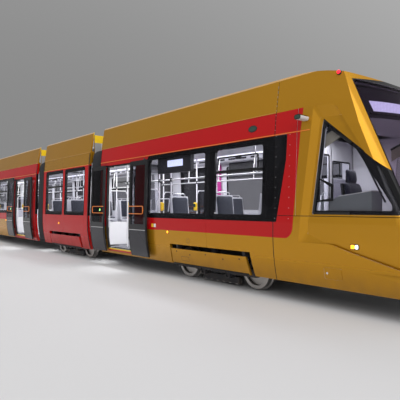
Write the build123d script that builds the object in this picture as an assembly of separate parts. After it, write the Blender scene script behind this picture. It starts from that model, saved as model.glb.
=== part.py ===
from build123d import *
import os
from math import atan2, cos, pi, radians, sin, sqrt

# Five-module low-floor tram. Millimetres. X runs along the tram with the photographed front at +X,
# Y across it and Z up. Everything is drawn from the rail top and lifted by the flange depth when written.

# Driving sizes of the train
GAUGE = 1435
FLANGE = 26
CENTRE_LENGTH = 8600
BOGIE_MODULE_LENGTH = 3200
GANGWAY = 600
SADDLE_LENGTH = 5610      # straight part of the cab module, from its gangway end to the nose seam
NOSE_LENGTH = 2690

# Heights above the rail
SKIRT = 280
WAIST = 930
BAND_LOW = 1165
BAND_HIGH = 2470
CEILING = 2560
DECK_TOP = 2760
CANTRAIL = 2820
ROOF_TOP = 3360
ROOF_EDGE = 40            # bevel along the upper edges of the roof fairings

# Half width of the body and how far each height is tucked in from it
HALF_WIDTH = 1200
BELLY = 600
SKIRT_TUCK = 95
BELLY_TUCK = 28
BAND_TUCK = 45
CANTRAIL_TUCK = 80
ROOF_TUCK = 155
HALF_SKIRT = HALF_WIDTH - SKIRT_TUCK
HALF_BELLY = HALF_WIDTH - BELLY_TUCK
HALF_BAND_HIGH = HALF_WIDTH - BAND_TUCK
HALF_CANTRAIL = HALF_WIDTH - CANTRAIL_TUCK
HALF_ROOF = HALF_WIDTH - ROOF_TUCK

# Walls, panes and clearances
WALL = 60
FAIRING = 40
CURB = 30
PANE = 8
REBATE = 10
PANE_GAP = 3
SEAT_GAP = 0.3
COVER_THINNER = 20        # how much thinner a bogie cover is than the wall
FLOOR_THICK = 120
FLOOR_THIN = 30

# Running gear
WHEEL_RADIUS = 295
WHEEL_WIDTH = 125
BACK_TO_BACK = 1360
AXLE_RADIUS = 55
AXLE_CLEAR = 20           # air between the axles and the floor over them
FLOOR_TOP = WHEEL_RADIUS + AXLE_RADIUS + AXLE_CLEAR + FLOOR_THIN
WHEELBASE = 1800
BOX_INNER = 600           # inner face of the wheel boxes beside the aisle
BOX_CLEAR = 130           # top of the wheel boxes above the wheels
BOX_TOP = 2 * WHEEL_RADIUS + BOX_CLEAR
BOX_PLATE = 20
OPENING_TOP = BOX_TOP - 55  # upper edge of the openings over the bogies
BOX_HALF_LENGTH = 1320
OPENING_INNER = 1050      # from the bogie's middle to the upright end of an opening
OPENING_OUTER = 1100      # to the top of its sloping end
OPENING_LEAN = 70
COVER_GAPS = (30, 85, 100)  # gaps round a bogie cover: upright end, top, sloping end
COVER_TOP = OPENING_TOP - COVER_GAPS[1]
HANGER_DEPTH = 60         # how far a hanger reaches down behind a cover
BEAM_Y = 925              # middle of the bogie's side beams
BEAM_WIDTH = 90
BRAKE_HALF = 480          # half length of a track brake
BRAKE_HANGER_X = 330
CROSS_HALF = 70           # half width of a bogie cross member
CROSS_X = WHEELBASE / 2 - WHEEL_RADIUS - FLANGE - CROSS_HALF - 29

# Doors
LEAF_WIDTH = 660
LEAF_THICK = 36
LEAF_OUT = 70             # how far an open leaf stands off the wall
DOORWAY = 1300
DOOR_LOW = 330
DOOR_HIGH = 2390
DOOR_OVERLAP = 60         # how much an open leaf still covers of its half doorway
ARM_WIDTH = 40            # arm over an open leaf, which reaches into the doorway
ARM_EDGE = 10
LEAF_FRAME = 45           # frame of a leaf beside its pane
LEAF_LEDGE = 25
LEAF_CORNER = 60
LEAF_GLASS_LOW = 1000
LEAF_GLASS_HIGH = 2310

# Places along the tram, worked out from the lengths
CENTRE_END = CENTRE_LENGTH / 2
PIVOT_INNER = CENTRE_END + GANGWAY / 2
BOGIE_START = CENTRE_END + GANGWAY
BOGIE_END = BOGIE_START + BOGIE_MODULE_LENGTH
BOGIE_MID = (BOGIE_START + BOGIE_END) / 2
PIVOT_OUTER = BOGIE_END + GANGWAY / 2
CAB_START = BOGIE_END + GANGWAY
SEAM = CAB_START + SADDLE_LENGTH
NOSE_TIP = SEAM + NOSE_LENGTH
CAB_BOGIE = CAB_START + 4010
CAB_DOOR = CAB_START + 1020
CENTRE_DOOR = 2850

# Upright seams between the lower wall panels of the modules
CAB_SEAMS = [CAB_START + 2140, CAB_START + 4070]
BOGIE_SEAMS = [BOGIE_START + 260, BOGIE_MID, BOGIE_END - 260]
CENTRE_SEAMS = [-2045, 0, 2045]

# Clear windows of each module on either side, and the dark glass bands that they lie in: low x, high x
CAB_WINDOWS = [(CAB_START + 2205, CAB_START + 3990), (CAB_START + 4260, CAB_START + 5370)]
CAB_BAND = (CAB_START + 2140, SEAM + 400)
BOGIE_WINDOWS = [(BOGIE_START + 300, BOGIE_MID - 120), (BOGIE_MID + 120, BOGIE_END - 300)]
CENTRE_WINDOWS = [(-1980, -120), (120, 1980)]
CENTRE_BAND = (-2045, 2045)
WINDOW_LOW = 1270
WINDOW_HIGH = 2375
WINDOW_CORNER = 50
FRIT = 55                 # dark border of a single window's pane round its clear opening
BAND_CORNER = 60

# Nose: plan with straight sides, round corners and a bowed front, which leans back above its base
NOSE_BASE = 1080          # height where the windscreen's lean starts
NOSE_FRONT = SEAM + 2410  # front of the plan at that height
BUMPER_TOP = 850          # the bumper stands upright up to here and reaches the tip
RAKE = 0.47               # lean of the windscreen, back per unit of height
FRONT_RADIUS = 2050
NOSE_CORNER = 240
NOSE_WALL = 90
ROOF_FALL = 190           # from the seam to where the roof starts to fall
ROOF_FALL_RADIUS = 3000
CHIN = 500                # length of the rounded chin under the tip
SCREEN_LOW = 1290
SCREEN_HIGH = 3115        # upper corners of the windscreen
SCREEN_SAG = 90           # how far its upper edge dips in the middle
SCREEN_HALF_LOW = 1080
SCREEN_HALF_HIGH = 1005
SCREEN_CORNER = 70
LEDGE = 24                # depth of the ledge that carries the cab glass
LEDGE_WIDTH = 40
GLASS_INSET = 4           # how far the cab glass lies below the surface round it
SCALLOP = 45              # depth of the recess in either side of the nose
PILLAR_EDGE = 1096        # half width where that recess ends at the windscreen
GROOVE = 4                # depth of a panel line
GROOVE_HALF = 3
SEAM_LINE = 1260          # height of the panel line below the cab windows

# Edges of the recess above and below its split height: x from the seam and height of the outer edge,
# the same for the inner edge at full depth, and the corner radius. Each part is drawn on planes that
# lean with the wall there, by their slope inwards per unit of height.
RIM_SPLIT = 1100
UPPER_SLOPE = BAND_TUCK / (BAND_HIGH - BAND_LOW)
LOWER_SLOPE = -0.1
UPPER_RIM = [
    ((672, 2815), (775, 2642), 50),
    ((1010, 2800), (1120, 2622), 250),
    ((1480, 2060), (1480, 2035), 400),
    ((2140, 1546), (2140, 1520), 0),
    ((2640, RIM_SPLIT), (2640, RIM_SPLIT), 0),
    ((489, RIM_SPLIT), (600, RIM_SPLIT), 0),
    ((650, BAND_HIGH), (760, BAND_HIGH), 0),
]
LOWER_RIM = [
    ((489, RIM_SPLIT), (600, RIM_SPLIT), 0),
    ((2640, RIM_SPLIT), (2640, RIM_SPLIT), 0),
    ((2640, 352), (2640, 440), 0),
    ((1140, 632), (1290, 800), 500),
    ((478, 845), (600, 1010), 80),
]
RECESS_FLOOR = [inner for _, inner, _ in UPPER_RIM[:5] + LOWER_RIM[2:] + UPPER_RIM[5:]]

# Outlines in x from the seam and height
CAB_GLASS = [(664, 1286), (822, 2616), (2290, 1398), (2290, 1286)]
CAB_CLEAR = [(725, 1341), (855, 2510), (1307, 2145), (1795, 1410), (1800, 1341)]
NOSE_BAND = [(-400, BAND_LOW), (-400, BAND_HIGH), (240, BAND_HIGH), (226, 2100), (62, BAND_LOW)]
SERVICE_FLAP = [(870, 410), (870, 570), (1140, 570), (1140, 410)]
PANEL_LINE = 415          # from the seam to the upright panel line in the nose

# Lamps in the bumper
LAMP_Y = 690
LAMP_Z = 690
LAMP_LONG = 360
LAMP_HIGH = 130
POD_REACH = 130           # how far the camera pods stand out beyond the body

# Gangways
TURNTABLE = 520
NECK_HALF = TURNTABLE - 40 # half width of the tongue behind its round end
TURN_GAP = 12
BELLOWS_INSET = 70
BELLOWS_FOLDS = 8

# Roof equipment
CASE_CHAMFER = 70
LOUVRE_PITCH = 110
LOUVRE_WIDTH = 45
LOUVRE_DEPTH = 12
BULKHEAD = 25

os.makedirs("parts", exist_ok=True)


def block(x0, x1, y0, y1, z0, z1):
    """Box between two corners."""
    centre = Pos((x0 + x1) / 2, (y0 + y1) / 2, (z0 + z1) / 2)
    return centre * Box(x1 - x0, y1 - y0, z1 - z0)


def flip_y(shape):
    """The same piece on the other side of the tram."""
    return mirror(shape, about=Plane.XZ)


def flip_x(shape):
    """The same piece at the other end of the tram."""
    return mirror(shape, about=Plane.YZ)


def both_sides(shape):
    return shape + flip_y(shape)


def gather(*shapes):
    """Solids that share a node without touching."""
    solids = []
    for shape in shapes:
        solids += shape.solids()
    return Compound(solids)


def save(name, shape):
    """Write a node, lifted so that its wheels' flanges stand at zero."""
    solids = [Pos(0, 0, FLANGE) * solid for solid in shape.solids()]
    export_step(solids[0] if len(solids) == 1 else Compound(solids), f"parts/{name}.step")


def save_pair(name, shape):
    """A piece of the front half and its twin at the rear."""
    save(f"front_{name}", shape)
    save(f"rear_{name}", flip_x(shape))


def side_prism(corners, radius, y0, y1, grow=0):
    """Outline in x and z with rounded corners, grown or shrunk, run across the tram from y0 to y1."""
    face = make_face(Polyline(*corners, close=True))
    if radius:
        face = fillet(face.vertices(), radius)
    if grow:
        face = offset(face, grow)
    return extrude(Pos(0, y0, 0) * (Plane.XZ * face), y1 - y0, dir=(0, 1, 0))


def from_seam(corners):
    """Outline whose x is measured from the nose seam."""
    return [(SEAM + x, z) for x, z in corners]


def across(profile, x0, x1):
    """Cross-section in y and z, run along the tram from x0 to x1."""
    return extrude(Plane.YZ.offset(x0) * profile, x1 - x0, dir=(1, 0, 0))


def body_section(inset, top=ROOF_TOP):
    """Whole body section at an inset from the outside, from the skirt to the roof."""
    right = [
        ThreePointArc(
            (HALF_SKIRT - inset, SKIRT), (HALF_BELLY - inset, BELLY), (HALF_WIDTH - inset, WAIST)
        ),
        Polyline(
            (HALF_WIDTH - inset, WAIST),
            (HALF_WIDTH - inset, BAND_LOW),
            (HALF_BAND_HIGH - inset, BAND_HIGH),
            (HALF_CANTRAIL - inset, CANTRAIL),
            (HALF_ROOF - inset, top - ROOF_EDGE - inset),
            (HALF_ROOF - ROOF_EDGE - inset, top - inset),
            (0, top - inset),
            (0, SKIRT),
            (HALF_SKIRT - inset, SKIRT),
        ),
    ]
    half = make_face(right)
    return half + mirror(half, about=Plane.YZ)


def half_width_at(z):
    """Half width of the body at a height between the skirt and the roof."""
    heights = [SKIRT, BELLY, WAIST, BAND_LOW, BAND_HIGH, CANTRAIL, ROOF_TOP]
    halves = [HALF_SKIRT, HALF_BELLY, HALF_WIDTH, HALF_WIDTH, HALF_BAND_HIGH, HALF_CANTRAIL, HALF_ROOF]
    i = max(k for k in range(6) if z >= heights[k])
    share = (z - heights[i]) / (heights[i + 1] - heights[i])
    return halves[i] + share * (halves[i + 1] - halves[i])


def wall_strip(outer, inner, z0, z1):
    """Section of the +Y wall between two insets and two heights."""
    ring = body_section(outer) - body_section(inner, ROOF_TOP)
    window = Pos(HALF_WIDTH - 200, (z0 + z1) / 2) * Rectangle(1000, z1 - z0)
    return ring & window


def side_piece(outer, inner, x0, x1, z0, z1):
    """Piece of the +Y wall between two insets, as a box of the wall."""
    return across(wall_strip(outer, inner, z0, z1), x0, x1)


def rectangle(x0, x1, z0, z1):
    return [(x0, z0), (x1, z0), (x1, z1), (x0, z1)]


def single_bands(windows):
    """Dark borders of windows that stand alone."""
    return [(low - FRIT, high + FRIT) for low, high in windows]


def opening_outline(x_mid, gaps=(0, 0, 0)):
    """Opening over a bogie, upright at its inner end and sloping at the other, or its cover in the gaps."""
    inner, top, outer = gaps
    low = SKIRT - 50
    return [
        (x_mid - OPENING_INNER + inner, low),
        (x_mid - OPENING_INNER + inner, OPENING_TOP - top),
        (x_mid + OPENING_OUTER - outer, OPENING_TOP - top),
        (x_mid + OPENING_OUTER + OPENING_LEAN - outer, low),
    ]


def side_wall(x0, x1, bands, windows, doors, bogie, seams):
    """The +Y wall of a module with its openings, glass band rebates, bogie opening and panel seams."""
    wall = side_piece(0, WALL, x0, x1, SKIRT, CANTRAIL)
    for low, high in bands:
        band = side_prism(rectangle(low, high, BAND_LOW, BAND_HIGH), BAND_CORNER, 900, 1400)
        wall -= band & side_piece(-50, REBATE, low, high, BAND_LOW, BAND_HIGH)
    for low, high in windows:
        wall -= side_prism(rectangle(low, high, WINDOW_LOW, WINDOW_HIGH), WINDOW_CORNER, 900, 1400)
    for mid in doors:
        wall -= block(mid - DOORWAY / 2, mid + DOORWAY / 2, 900, 1400, DOOR_LOW, DOOR_HIGH)
        outer_y = HALF_BAND_HIGH - WALL + 5
        header = block(mid - DOORWAY / 2, mid + DOORWAY / 2, 900, outer_y, DOOR_HIGH, CEILING - 1)
        wall += header
    if bogie is not None:
        wall -= side_prism(opening_outline(bogie), 0, 900, 1400)
    for x in seams:
        wall -= side_piece(-50, GROOVE, x - GROOVE_HALF, x + GROOVE_HALF, SKIRT - 1, BAND_LOW - 20)
    return wall


def bogie_cover(x_mid):
    """Hinged flap in the skirt over one side of a bogie."""
    flap = side_piece(0, WALL - COVER_THINNER, x_mid - 1200, x_mid + 1200, SKIRT, COVER_TOP)
    return flap & side_prism(opening_outline(x_mid, COVER_GAPS), 0, 900, 1400)


def band_pane(band, low, high):
    """Pane bonded in a band's rebate between two upright joints, flush with the wall."""
    pane = side_piece(REBATE - PANE, REBATE, low + PANE_GAP, high - PANE_GAP, BAND_LOW, BAND_HIGH)
    outline = rectangle(*band, BAND_LOW, BAND_HIGH)
    return pane & side_prism(outline, BAND_CORNER, 900, 1400, -PANE_GAP)


def door_leaf(x0, x1, out):
    """Door leaf that follows the wall at a distance out from its skin, with a window: leaf and pane."""
    leaf = side_piece(-out - LEAF_THICK, -out, x0, x1, DOOR_LOW, DOOR_HIGH)
    outline = rectangle(x0 + LEAF_FRAME, x1 - LEAF_FRAME, LEAF_GLASS_LOW, LEAF_GLASS_HIGH)
    leaf -= side_prism(outline, LEAF_CORNER, 900, 1400, -LEAF_LEDGE)
    skin = -out - LEAF_THICK
    rebate = side_piece(skin - 20, skin + REBATE, x0, x1, LEAF_GLASS_LOW, LEAF_GLASS_HIGH)
    leaf -= side_prism(outline, LEAF_CORNER, 900, 1400) & rebate
    pane = side_piece(skin + REBATE - PANE, skin + REBATE, x0, x1, LEAF_GLASS_LOW, LEAF_GLASS_HIGH)
    return leaf, pane & side_prism(outline, LEAF_CORNER, 900, 1400, -PANE_GAP)


def open_leaves(mid):
    """Two leaves slid apart outside the wall, each on the arm that carries it."""
    x_left = mid - DOORWAY / 2 + DOOR_OVERLAP
    x_right = mid + DOORWAY / 2 - DOOR_OVERLAP
    leaves = []
    for low, high, arm in (
        (x_left - LEAF_WIDTH, x_left, x_left - ARM_EDGE - ARM_WIDTH),
        (x_right, x_right + LEAF_WIDTH, x_right + ARM_EDGE),
    ):
        leaf, pane = door_leaf(low, high, LEAF_OUT)
        leaf += block(arm, arm + ARM_WIDTH, 1000, HALF_BAND_HIGH + LEAF_OUT + 15, DOOR_HIGH - 50, DOOR_HIGH)
        leaves += [leaf, pane]
    return leaves


def closed_leaves(mid):
    """Two leaves shut in the doorway, flush with the wall."""
    half = DOORWAY / 2 - 4
    return [
        *door_leaf(mid - half, mid - 2, -LEAF_THICK),
        *door_leaf(mid + 2, mid + half, -LEAF_THICK),
    ]


def doors(mids):
    """Open doors on the platform side (-Y), shut doors on the other."""
    leaves = []
    for mid in mids:
        leaves += [flip_y(leaf) for leaf in open_leaves(mid)]
        leaves += closed_leaves(mid)
    return gather(*leaves)


def roof(x0, x1):
    """Roof deck with the fairings that stand along both sides."""
    low = CANTRAIL + SEAT_GAP
    above = Pos(0, (low + ROOF_TOP) / 2) * Rectangle(2 * HALF_WIDTH, ROOF_TOP - low)
    fairing = (body_section(0) - body_section(FAIRING, ROOF_TOP + 2 * FAIRING)) & above
    deck_half = HALF_CANTRAIL - WALL - 4
    deck = Pos(0, (CEILING + DECK_TOP) / 2) * Rectangle(2 * deck_half, DECK_TOP - CEILING)
    curb = Pos(0, (DECK_TOP + low) / 2) * Rectangle(2 * deck_half, low - DECK_TOP)
    shoulder = (Pos(0, low + CURB / 2) * Rectangle(2 * HALF_WIDTH, CURB)) & body_section(FAIRING / 2)
    trough = Pos(0, DECK_TOP + 200) * Rectangle(2 * (deck_half - CURB), 400)
    result = across(fairing + deck + (curb + shoulder - trough), x0, x1)
    reach = HALF_ROOF - FAIRING + 2
    for x in (x0, x1 - BULKHEAD):
        result += block(x, x + BULKHEAD, -reach, reach, DECK_TOP - 1, ROOF_TOP - 2 * ROOF_EDGE)
    return result


def roof_case(x0, x1, half, height):
    """Equipment case on the roof deck with chamfered long edges and louvres in its sides."""
    case = block(x0, x1, -half, half, DECK_TOP - 1, DECK_TOP + height)
    edges = case.edges().filter_by(Axis.X).sort_by(Axis.Z)[-2:]
    case = chamfer(edges, CASE_CHAMFER)
    low = DECK_TOP + 50
    high = DECK_TOP + height - CASE_CHAMFER - 40
    x = x0 + LOUVRE_PITCH
    while x < x1 - LOUVRE_PITCH:
        slot = block(x, x + LOUVRE_WIDTH, half - LOUVRE_DEPTH, half + 10, low, high)
        case -= both_sides(slot)
        x += LOUVRE_PITCH
    return case


def underframe(x0, x1, bogie):
    """Floor of a module: a box floor, thin over the bogie, with boxes over the wheels beside the aisle."""
    inside = across(body_section(WALL + SEAT_GAP), x0, x1)
    floor = block(x0, x1, -HALF_WIDTH, HALF_WIDTH, FLOOR_TOP - FLOOR_THICK, FLOOR_TOP)
    if bogie is None:
        return floor & inside
    low = bogie - BOX_HALF_LENGTH
    high = bogie + BOX_HALF_LENGTH
    floor -= block(low, high, -HALF_WIDTH, HALF_WIDTH, 0, FLOOR_TOP - FLOOR_THIN)
    box = block(low - BOX_PLATE, high + BOX_PLATE, BOX_INNER, HALF_WIDTH, FLOOR_TOP - FLOOR_THIN, BOX_TOP)
    space = block(low, high, BOX_INNER + BOX_PLATE, HALF_WIDTH, 0, BOX_TOP - BOX_PLATE)
    floor = floor + both_sides(box) - both_sides(space)
    floor &= inside
    hanger_reach = across(body_section(WALL - COVER_THINNER + SEAT_GAP), x0, x1)
    for end in (-1, 1):
        x_mid = bogie + end * (BOX_HALF_LENGTH - 420)
        low = COVER_TOP - HANGER_DEPTH
        hanger = block(x_mid - 30, x_mid + 30, HALF_SKIRT - 120, HALF_WIDTH, low, BOX_TOP - BOX_PLATE + 1)
        lip = block(x_mid - 30, x_mid + 30, HALF_SKIRT - 120, HALF_WIDTH, low, COVER_TOP)
        floor += both_sides((hanger & inside) + (lip & hanger_reach))
    return floor


def gangway_tongue(floor, pivot, towards):
    """Half-round floor plate that reaches over the pivot from the module behind it."""
    reach = pivot - towards * GANGWAY / 2
    plate = Pos(pivot, 0, FLOOR_TOP - FLOOR_THIN / 2) * Cylinder(TURNTABLE, FLOOR_THIN)
    low, high = sorted((reach - towards * 10, pivot))
    neck = block(low, high, -NECK_HALF, NECK_HALF, FLOOR_TOP - FLOOR_THIN, FLOOR_TOP)
    pin = Pos(pivot, 0, FLOOR_TOP - FLOOR_THIN - 50) * Cylinder(60, 102)
    return floor + plate + neck + pin


def gangway_fork(floor, pivot, towards):
    """Floor end with a round bay for the tongue and the ring of the pivot below it."""
    reach = pivot + towards * GANGWAY / 2
    low, high = sorted((pivot, reach + towards * 10))
    bay = block(low, high, -TURNTABLE - 60, TURNTABLE + 60, FLOOR_TOP - FLOOR_THIN, FLOOR_TOP)
    arm_top = FLOOR_TOP - FLOOR_THIN - 5
    arm = block(low, high, -110, 110, arm_top - 80, arm_top)
    ring = Pos(pivot, 0, arm_top - 40) * Cylinder(110, 80)
    result = floor + bay + arm + ring
    result -= Pos(pivot, 0, FLOOR_TOP) * Cylinder(TURNTABLE + TURN_GAP, 2 * FLOOR_THIN)
    result -= Pos(pivot, 0, arm_top - 40) * Cylinder(60.05, 200)
    return result


def bellows(x0, x1):
    """Folded tunnel round a gangway."""
    step = (x1 - x0) / BELLOWS_FOLDS
    inner = BELLOWS_INSET + 50
    low = Pos(0, SKIRT + 60 + 1300) * Rectangle(3000, 2600)
    tube = (body_section(BELLOWS_INSET + 35, 2950) - body_section(inner, 2950)) & low
    shape = across(tube, x0, x1)
    for i in range(BELLOWS_FOLDS):
        fold = (body_section(BELLOWS_INSET, 2950) - body_section(inner, 2950)) & low
        shape += across(fold, x0 + (i + 0.3) * step, x0 + (i + 0.7) * step)
    return shape


def wheelset(x):
    """Axle with two flanged wheels, turned about the tram's cross axis."""
    face_in = BACK_TO_BACK / 2
    face_out = face_in + WHEEL_WIDTH
    tread = WHEEL_RADIUS
    profile = [
        (0, 0),
        (AXLE_RADIUS, 0),
        (AXLE_RADIUS, face_in - 10),
        (90, face_in - 5),
        (90, face_in + 25),
        (tread - 60, face_in + 40),
        (tread - 60, face_in),
        (tread + FLANGE - 6, face_in),
        (tread + FLANGE, face_in + 12),
        (tread + FLANGE - 8, face_in + 24),
        (tread + 2, face_in + 33),
        (tread - 3, face_out),
        (tread - 60, face_out),
        (tread - 60, face_in + 75),
        (90, face_in + 85),
        (90, face_out),
        (45, face_out + 5),
        (45, BEAM_Y + BEAM_WIDTH / 2 + 10),
        (0, BEAM_Y + BEAM_WIDTH / 2 + 10),
    ]
    half = Plane.XY * make_face(Polyline(*profile, close=True))
    solid = revolve(half, Axis.Y, 360)
    solid += flip_y(solid)
    return Pos(x, 0, WHEEL_RADIUS) * solid


def bogie(x_mid, powered):
    """Frame with side beams, cross members, axle boxes, springs, track brakes and motors."""
    frame = None
    beam_low = WHEEL_RADIUS - 75
    beam_high = WHEEL_RADIUS + 65
    reach = WHEELBASE / 2 + 190
    for side in (-1, 1):
        y0 = side * BEAM_Y - BEAM_WIDTH / 2
        y1 = side * BEAM_Y + BEAM_WIDTH / 2
        beam = block(x_mid - reach, x_mid + reach, y0, y1, beam_low, beam_high)
        corners = beam.edges().filter_by(Axis.Y)
        beam = chamfer(corners, 45)
        frame = beam if frame is None else frame + beam
        spring_top = BOX_TOP - BOX_PLATE
        spring_z = (beam_high + spring_top) / 2
        spring = Pos(x_mid, side * (BEAM_Y - 5), spring_z) * Cylinder(75, spring_top - beam_high)
        frame += spring
        for end in (-1, 1):
            x_beam = x_mid + end * BRAKE_HANGER_X
            y_rail = side * (GAUGE / 2 + 30)
            frame += block(x_beam - 60, x_beam + 60, side * 900 - 30, side * 900 + 30, 130, beam_low + 5)
            y_a, y_b = sorted((y_rail, side * 930))
            frame += block(x_beam - 40, x_beam + 40, y_a, y_b, 130, 170)
        y_rail = side * (GAUGE / 2 + 30)
        frame += block(x_mid - BRAKE_HALF, x_mid + BRAKE_HALF, y_rail - 35, y_rail + 35, 15, 140)
    for end in (-1, 1):
        x = x_mid + end * CROSS_X
        frame += block(x - CROSS_HALF, x + CROSS_HALF, -BEAM_Y, BEAM_Y, 200, 320)
    if powered:
        for side in (-1, 1):
            motor = Rot(0, 90, 0) * Cylinder(95, 830)
            frame += Pos(x_mid, side * 330, 235) * motor
    for end in (-1, 1):
        hole = Rot(90, 0, 0) * Cylinder(45.05, 3000)
        frame -= Pos(x_mid + end * WHEELBASE / 2, 0, WHEEL_RADIUS) * hole
    return frame


def seat(x, y, facing, base):
    """Passenger seat: shell with cushion and back on a plinth of height base."""
    side = [
        (0, 0),
        (0, 60),
        (330, 60),
        (400, 640),
        (440, 640),
        (385, 0),
    ]
    points = [(x + facing * (px - 200) * -1, base + 250 + pz) for px, pz in side]
    shell = side_prism(points, 0, y - 215, y + 215)
    foot = block(x - 120, x + 120, y - 60, y + 60, base, base + 251)
    return shell + foot


def seats_and_poles(seat_rows, poles):
    items = [seat(x, y, facing, base) for x, y, facing, base in seat_rows]
    for x, y in poles:
        length = CEILING - FLOOR_TOP
        items.append(Pos(x, y, FLOOR_TOP + length / 2) * Cylinder(17, length))
    return gather(*items)


def nose_plan(inset, front):
    """Plan of the nose at an inset, with the middle of its front at x = front."""
    bow = FRONT_RADIUS - inset
    corner = NOSE_CORNER - inset
    half = HALF_WIDTH - inset
    corner_y = HALF_WIDTH - NOSE_CORNER
    reach = sqrt((FRONT_RADIUS - NOSE_CORNER) ** 2 - corner_y ** 2)
    bow_x = front - FRONT_RADIUS
    corner_x = bow_x + reach
    turn = atan2(corner_y, reach)
    middle = (pi / 2 + turn) / 2
    join = (bow_x + bow * cos(turn), bow * sin(turn))
    on_corner = (corner_x + corner * cos(middle), corner_y + corner * sin(middle))
    back = SEAM - 1500
    return make_face(
        [
            Polyline((corner_x, -half), (back, -half), (back, half), (corner_x, half)),
            ThreePointArc((corner_x, half), on_corner, join),
            ThreePointArc(join, (front - inset, 0), (join[0], -join[1])),
            ThreePointArc((join[0], -join[1]), (on_corner[0], -on_corner[1]), (corner_x, -half)),
        ]
    )


def nose_solid(inset):
    """Solid body of the nose at an inset from its outside."""
    body = extrude(nose_plan(inset, NOSE_TIP), BUMPER_TOP, dir=(0, 0, 1))
    shoulder = Vector(NOSE_FRONT - NOSE_TIP, 0, NOSE_BASE - BUMPER_TOP)
    base = Pos(0, 0, BUMPER_TOP) * nose_plan(inset, NOSE_TIP)
    body += extrude(base, shoulder.length, dir=shoulder.normalized())
    lean = Vector(-RAKE, 0, 1).normalized()
    height = ROOF_TOP + 100 - NOSE_BASE
    body += extrude(Pos(0, 0, NOSE_BASE) * nose_plan(inset, NOSE_FRONT), height / lean.Z, dir=lean)
    body &= across(body_section(inset), SEAM, NOSE_TIP)
    fall = ROOF_FALL_RADIUS - inset
    fall_x = SEAM + ROOF_FALL
    fall_z = ROOF_TOP - ROOF_FALL_RADIUS
    low_x = fall_x + fall * sin(radians(30))
    low_z = fall_z + fall * cos(radians(30))
    side = make_face(
        [
            Polyline((SEAM - 10, ROOF_TOP - inset), (SEAM - 10, SKIRT - 60), (NOSE_TIP - CHIN, SKIRT - 60)),
            ThreePointArc(
                (NOSE_TIP - CHIN, SKIRT - 60), (NOSE_TIP - inset - 80, SKIRT + 60), (NOSE_TIP - inset, BELLY)
            ),
            Polyline((NOSE_TIP - inset, BELLY), (NOSE_TIP - inset, low_z), (low_x, low_z)),
            ThreePointArc(
                (low_x, low_z),
                (fall_x + fall * sin(radians(15)), fall_z + fall * cos(radians(15))),
                (fall_x, ROOF_TOP - inset),
            ),
            Line((fall_x, ROOF_TOP - inset), (SEAM - 10, ROOF_TOP - inset)),
        ]
    )
    return body & extrude(Pos(0, -1500, 0) * (Plane.XZ * side), 3000, dir=(0, 1, 0))


def screen_prism(grow):
    """Windscreen outline in the front view, run along the tram."""
    face = make_face(
        [
            Polyline(
                (SCREEN_HALF_HIGH, SCREEN_HIGH),
                (SCREEN_HALF_LOW, SCREEN_LOW),
                (-SCREEN_HALF_LOW, SCREEN_LOW),
                (-SCREEN_HALF_HIGH, SCREEN_HIGH),
            ),
            ThreePointArc(
                (-SCREEN_HALF_HIGH, SCREEN_HIGH),
                (0, SCREEN_HIGH - SCREEN_SAG),
                (SCREEN_HALF_HIGH, SCREEN_HIGH),
            ),
        ]
    )
    face = fillet(face.vertices(), SCREEN_CORNER)
    if grow:
        face = offset(face, grow)
    return across(face, SEAM + 900, NOSE_TIP + 100)


def lamp_prism(grow):
    """Outlines of the two lamps in the front view, run along the tram."""
    lamp = RectangleRounded(LAMP_LONG + 2 * grow, LAMP_HIGH + 2 * grow, 50 + grow)
    lamps = Pos(LAMP_Y, LAMP_Z) * lamp + Pos(-LAMP_Y, LAMP_Z) * lamp
    return across(lamps, NOSE_TIP - 700, NOSE_TIP + 100)


def rim_section(rim, slope, depth):
    """Section of the recess's bevelled edge at a depth in from the wall, on a plane that leans with it."""
    corners = []
    rounded = {}
    for outer, inner, radius in rim:
        lean_outer = half_width_at(outer[1]) + slope * (outer[1] - RIM_SPLIT)
        lean_inner = half_width_at(inner[1]) - SCALLOP + slope * (inner[1] - RIM_SPLIT)
        share = (lean_outer - HALF_WIDTH + depth) / (lean_outer - lean_inner)
        corner_x = outer[0] + share * (inner[0] - outer[0])
        corner = (corner_x, outer[1] + share * (inner[1] - outer[1]) - RIM_SPLIT)
        corners.append(corner)
        rounded[corner] = radius
    face = make_face(Polyline(*corners, close=True))
    for corner, radius in rounded.items():
        if radius:
            vertex = face.vertices().sort_by_distance((*corner, 0))[0]
            face = fillet(vertex, radius)
    plane = Plane((SEAM, HALF_WIDTH - depth, RIM_SPLIT), x_dir=(1, 0, 0), z_dir=(0, -1, -slope))
    return plane * face


def recess_cutters(floor):
    """What the recess in the +Y side of the nose takes away, down to its floor, piece by piece."""
    round_corner = side_prism(from_seam(RECESS_FLOOR), 0, PILLAR_EDGE, HALF_WIDTH + 15)
    upper = loft([rim_section(UPPER_RIM, UPPER_SLOPE, depth) for depth in (SCALLOP + 20, -20)], ruled=True)
    lower = loft([rim_section(LOWER_RIM, LOWER_SLOPE, depth) for depth in (SCALLOP + 8, -20)], ruled=True)
    return [round_corner - floor, upper - floor, lower - floor]


def camera_pod():
    """Arm with a rear-view camera on the +Y side of the nose."""
    pod = block(SEAM + 495, SEAM + 605, HALF_CANTRAIL - 20, HALF_WIDTH + POD_REACH, 2618, 2688)
    return fillet(pod.edges().filter_by(Axis.Y), 30)


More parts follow.
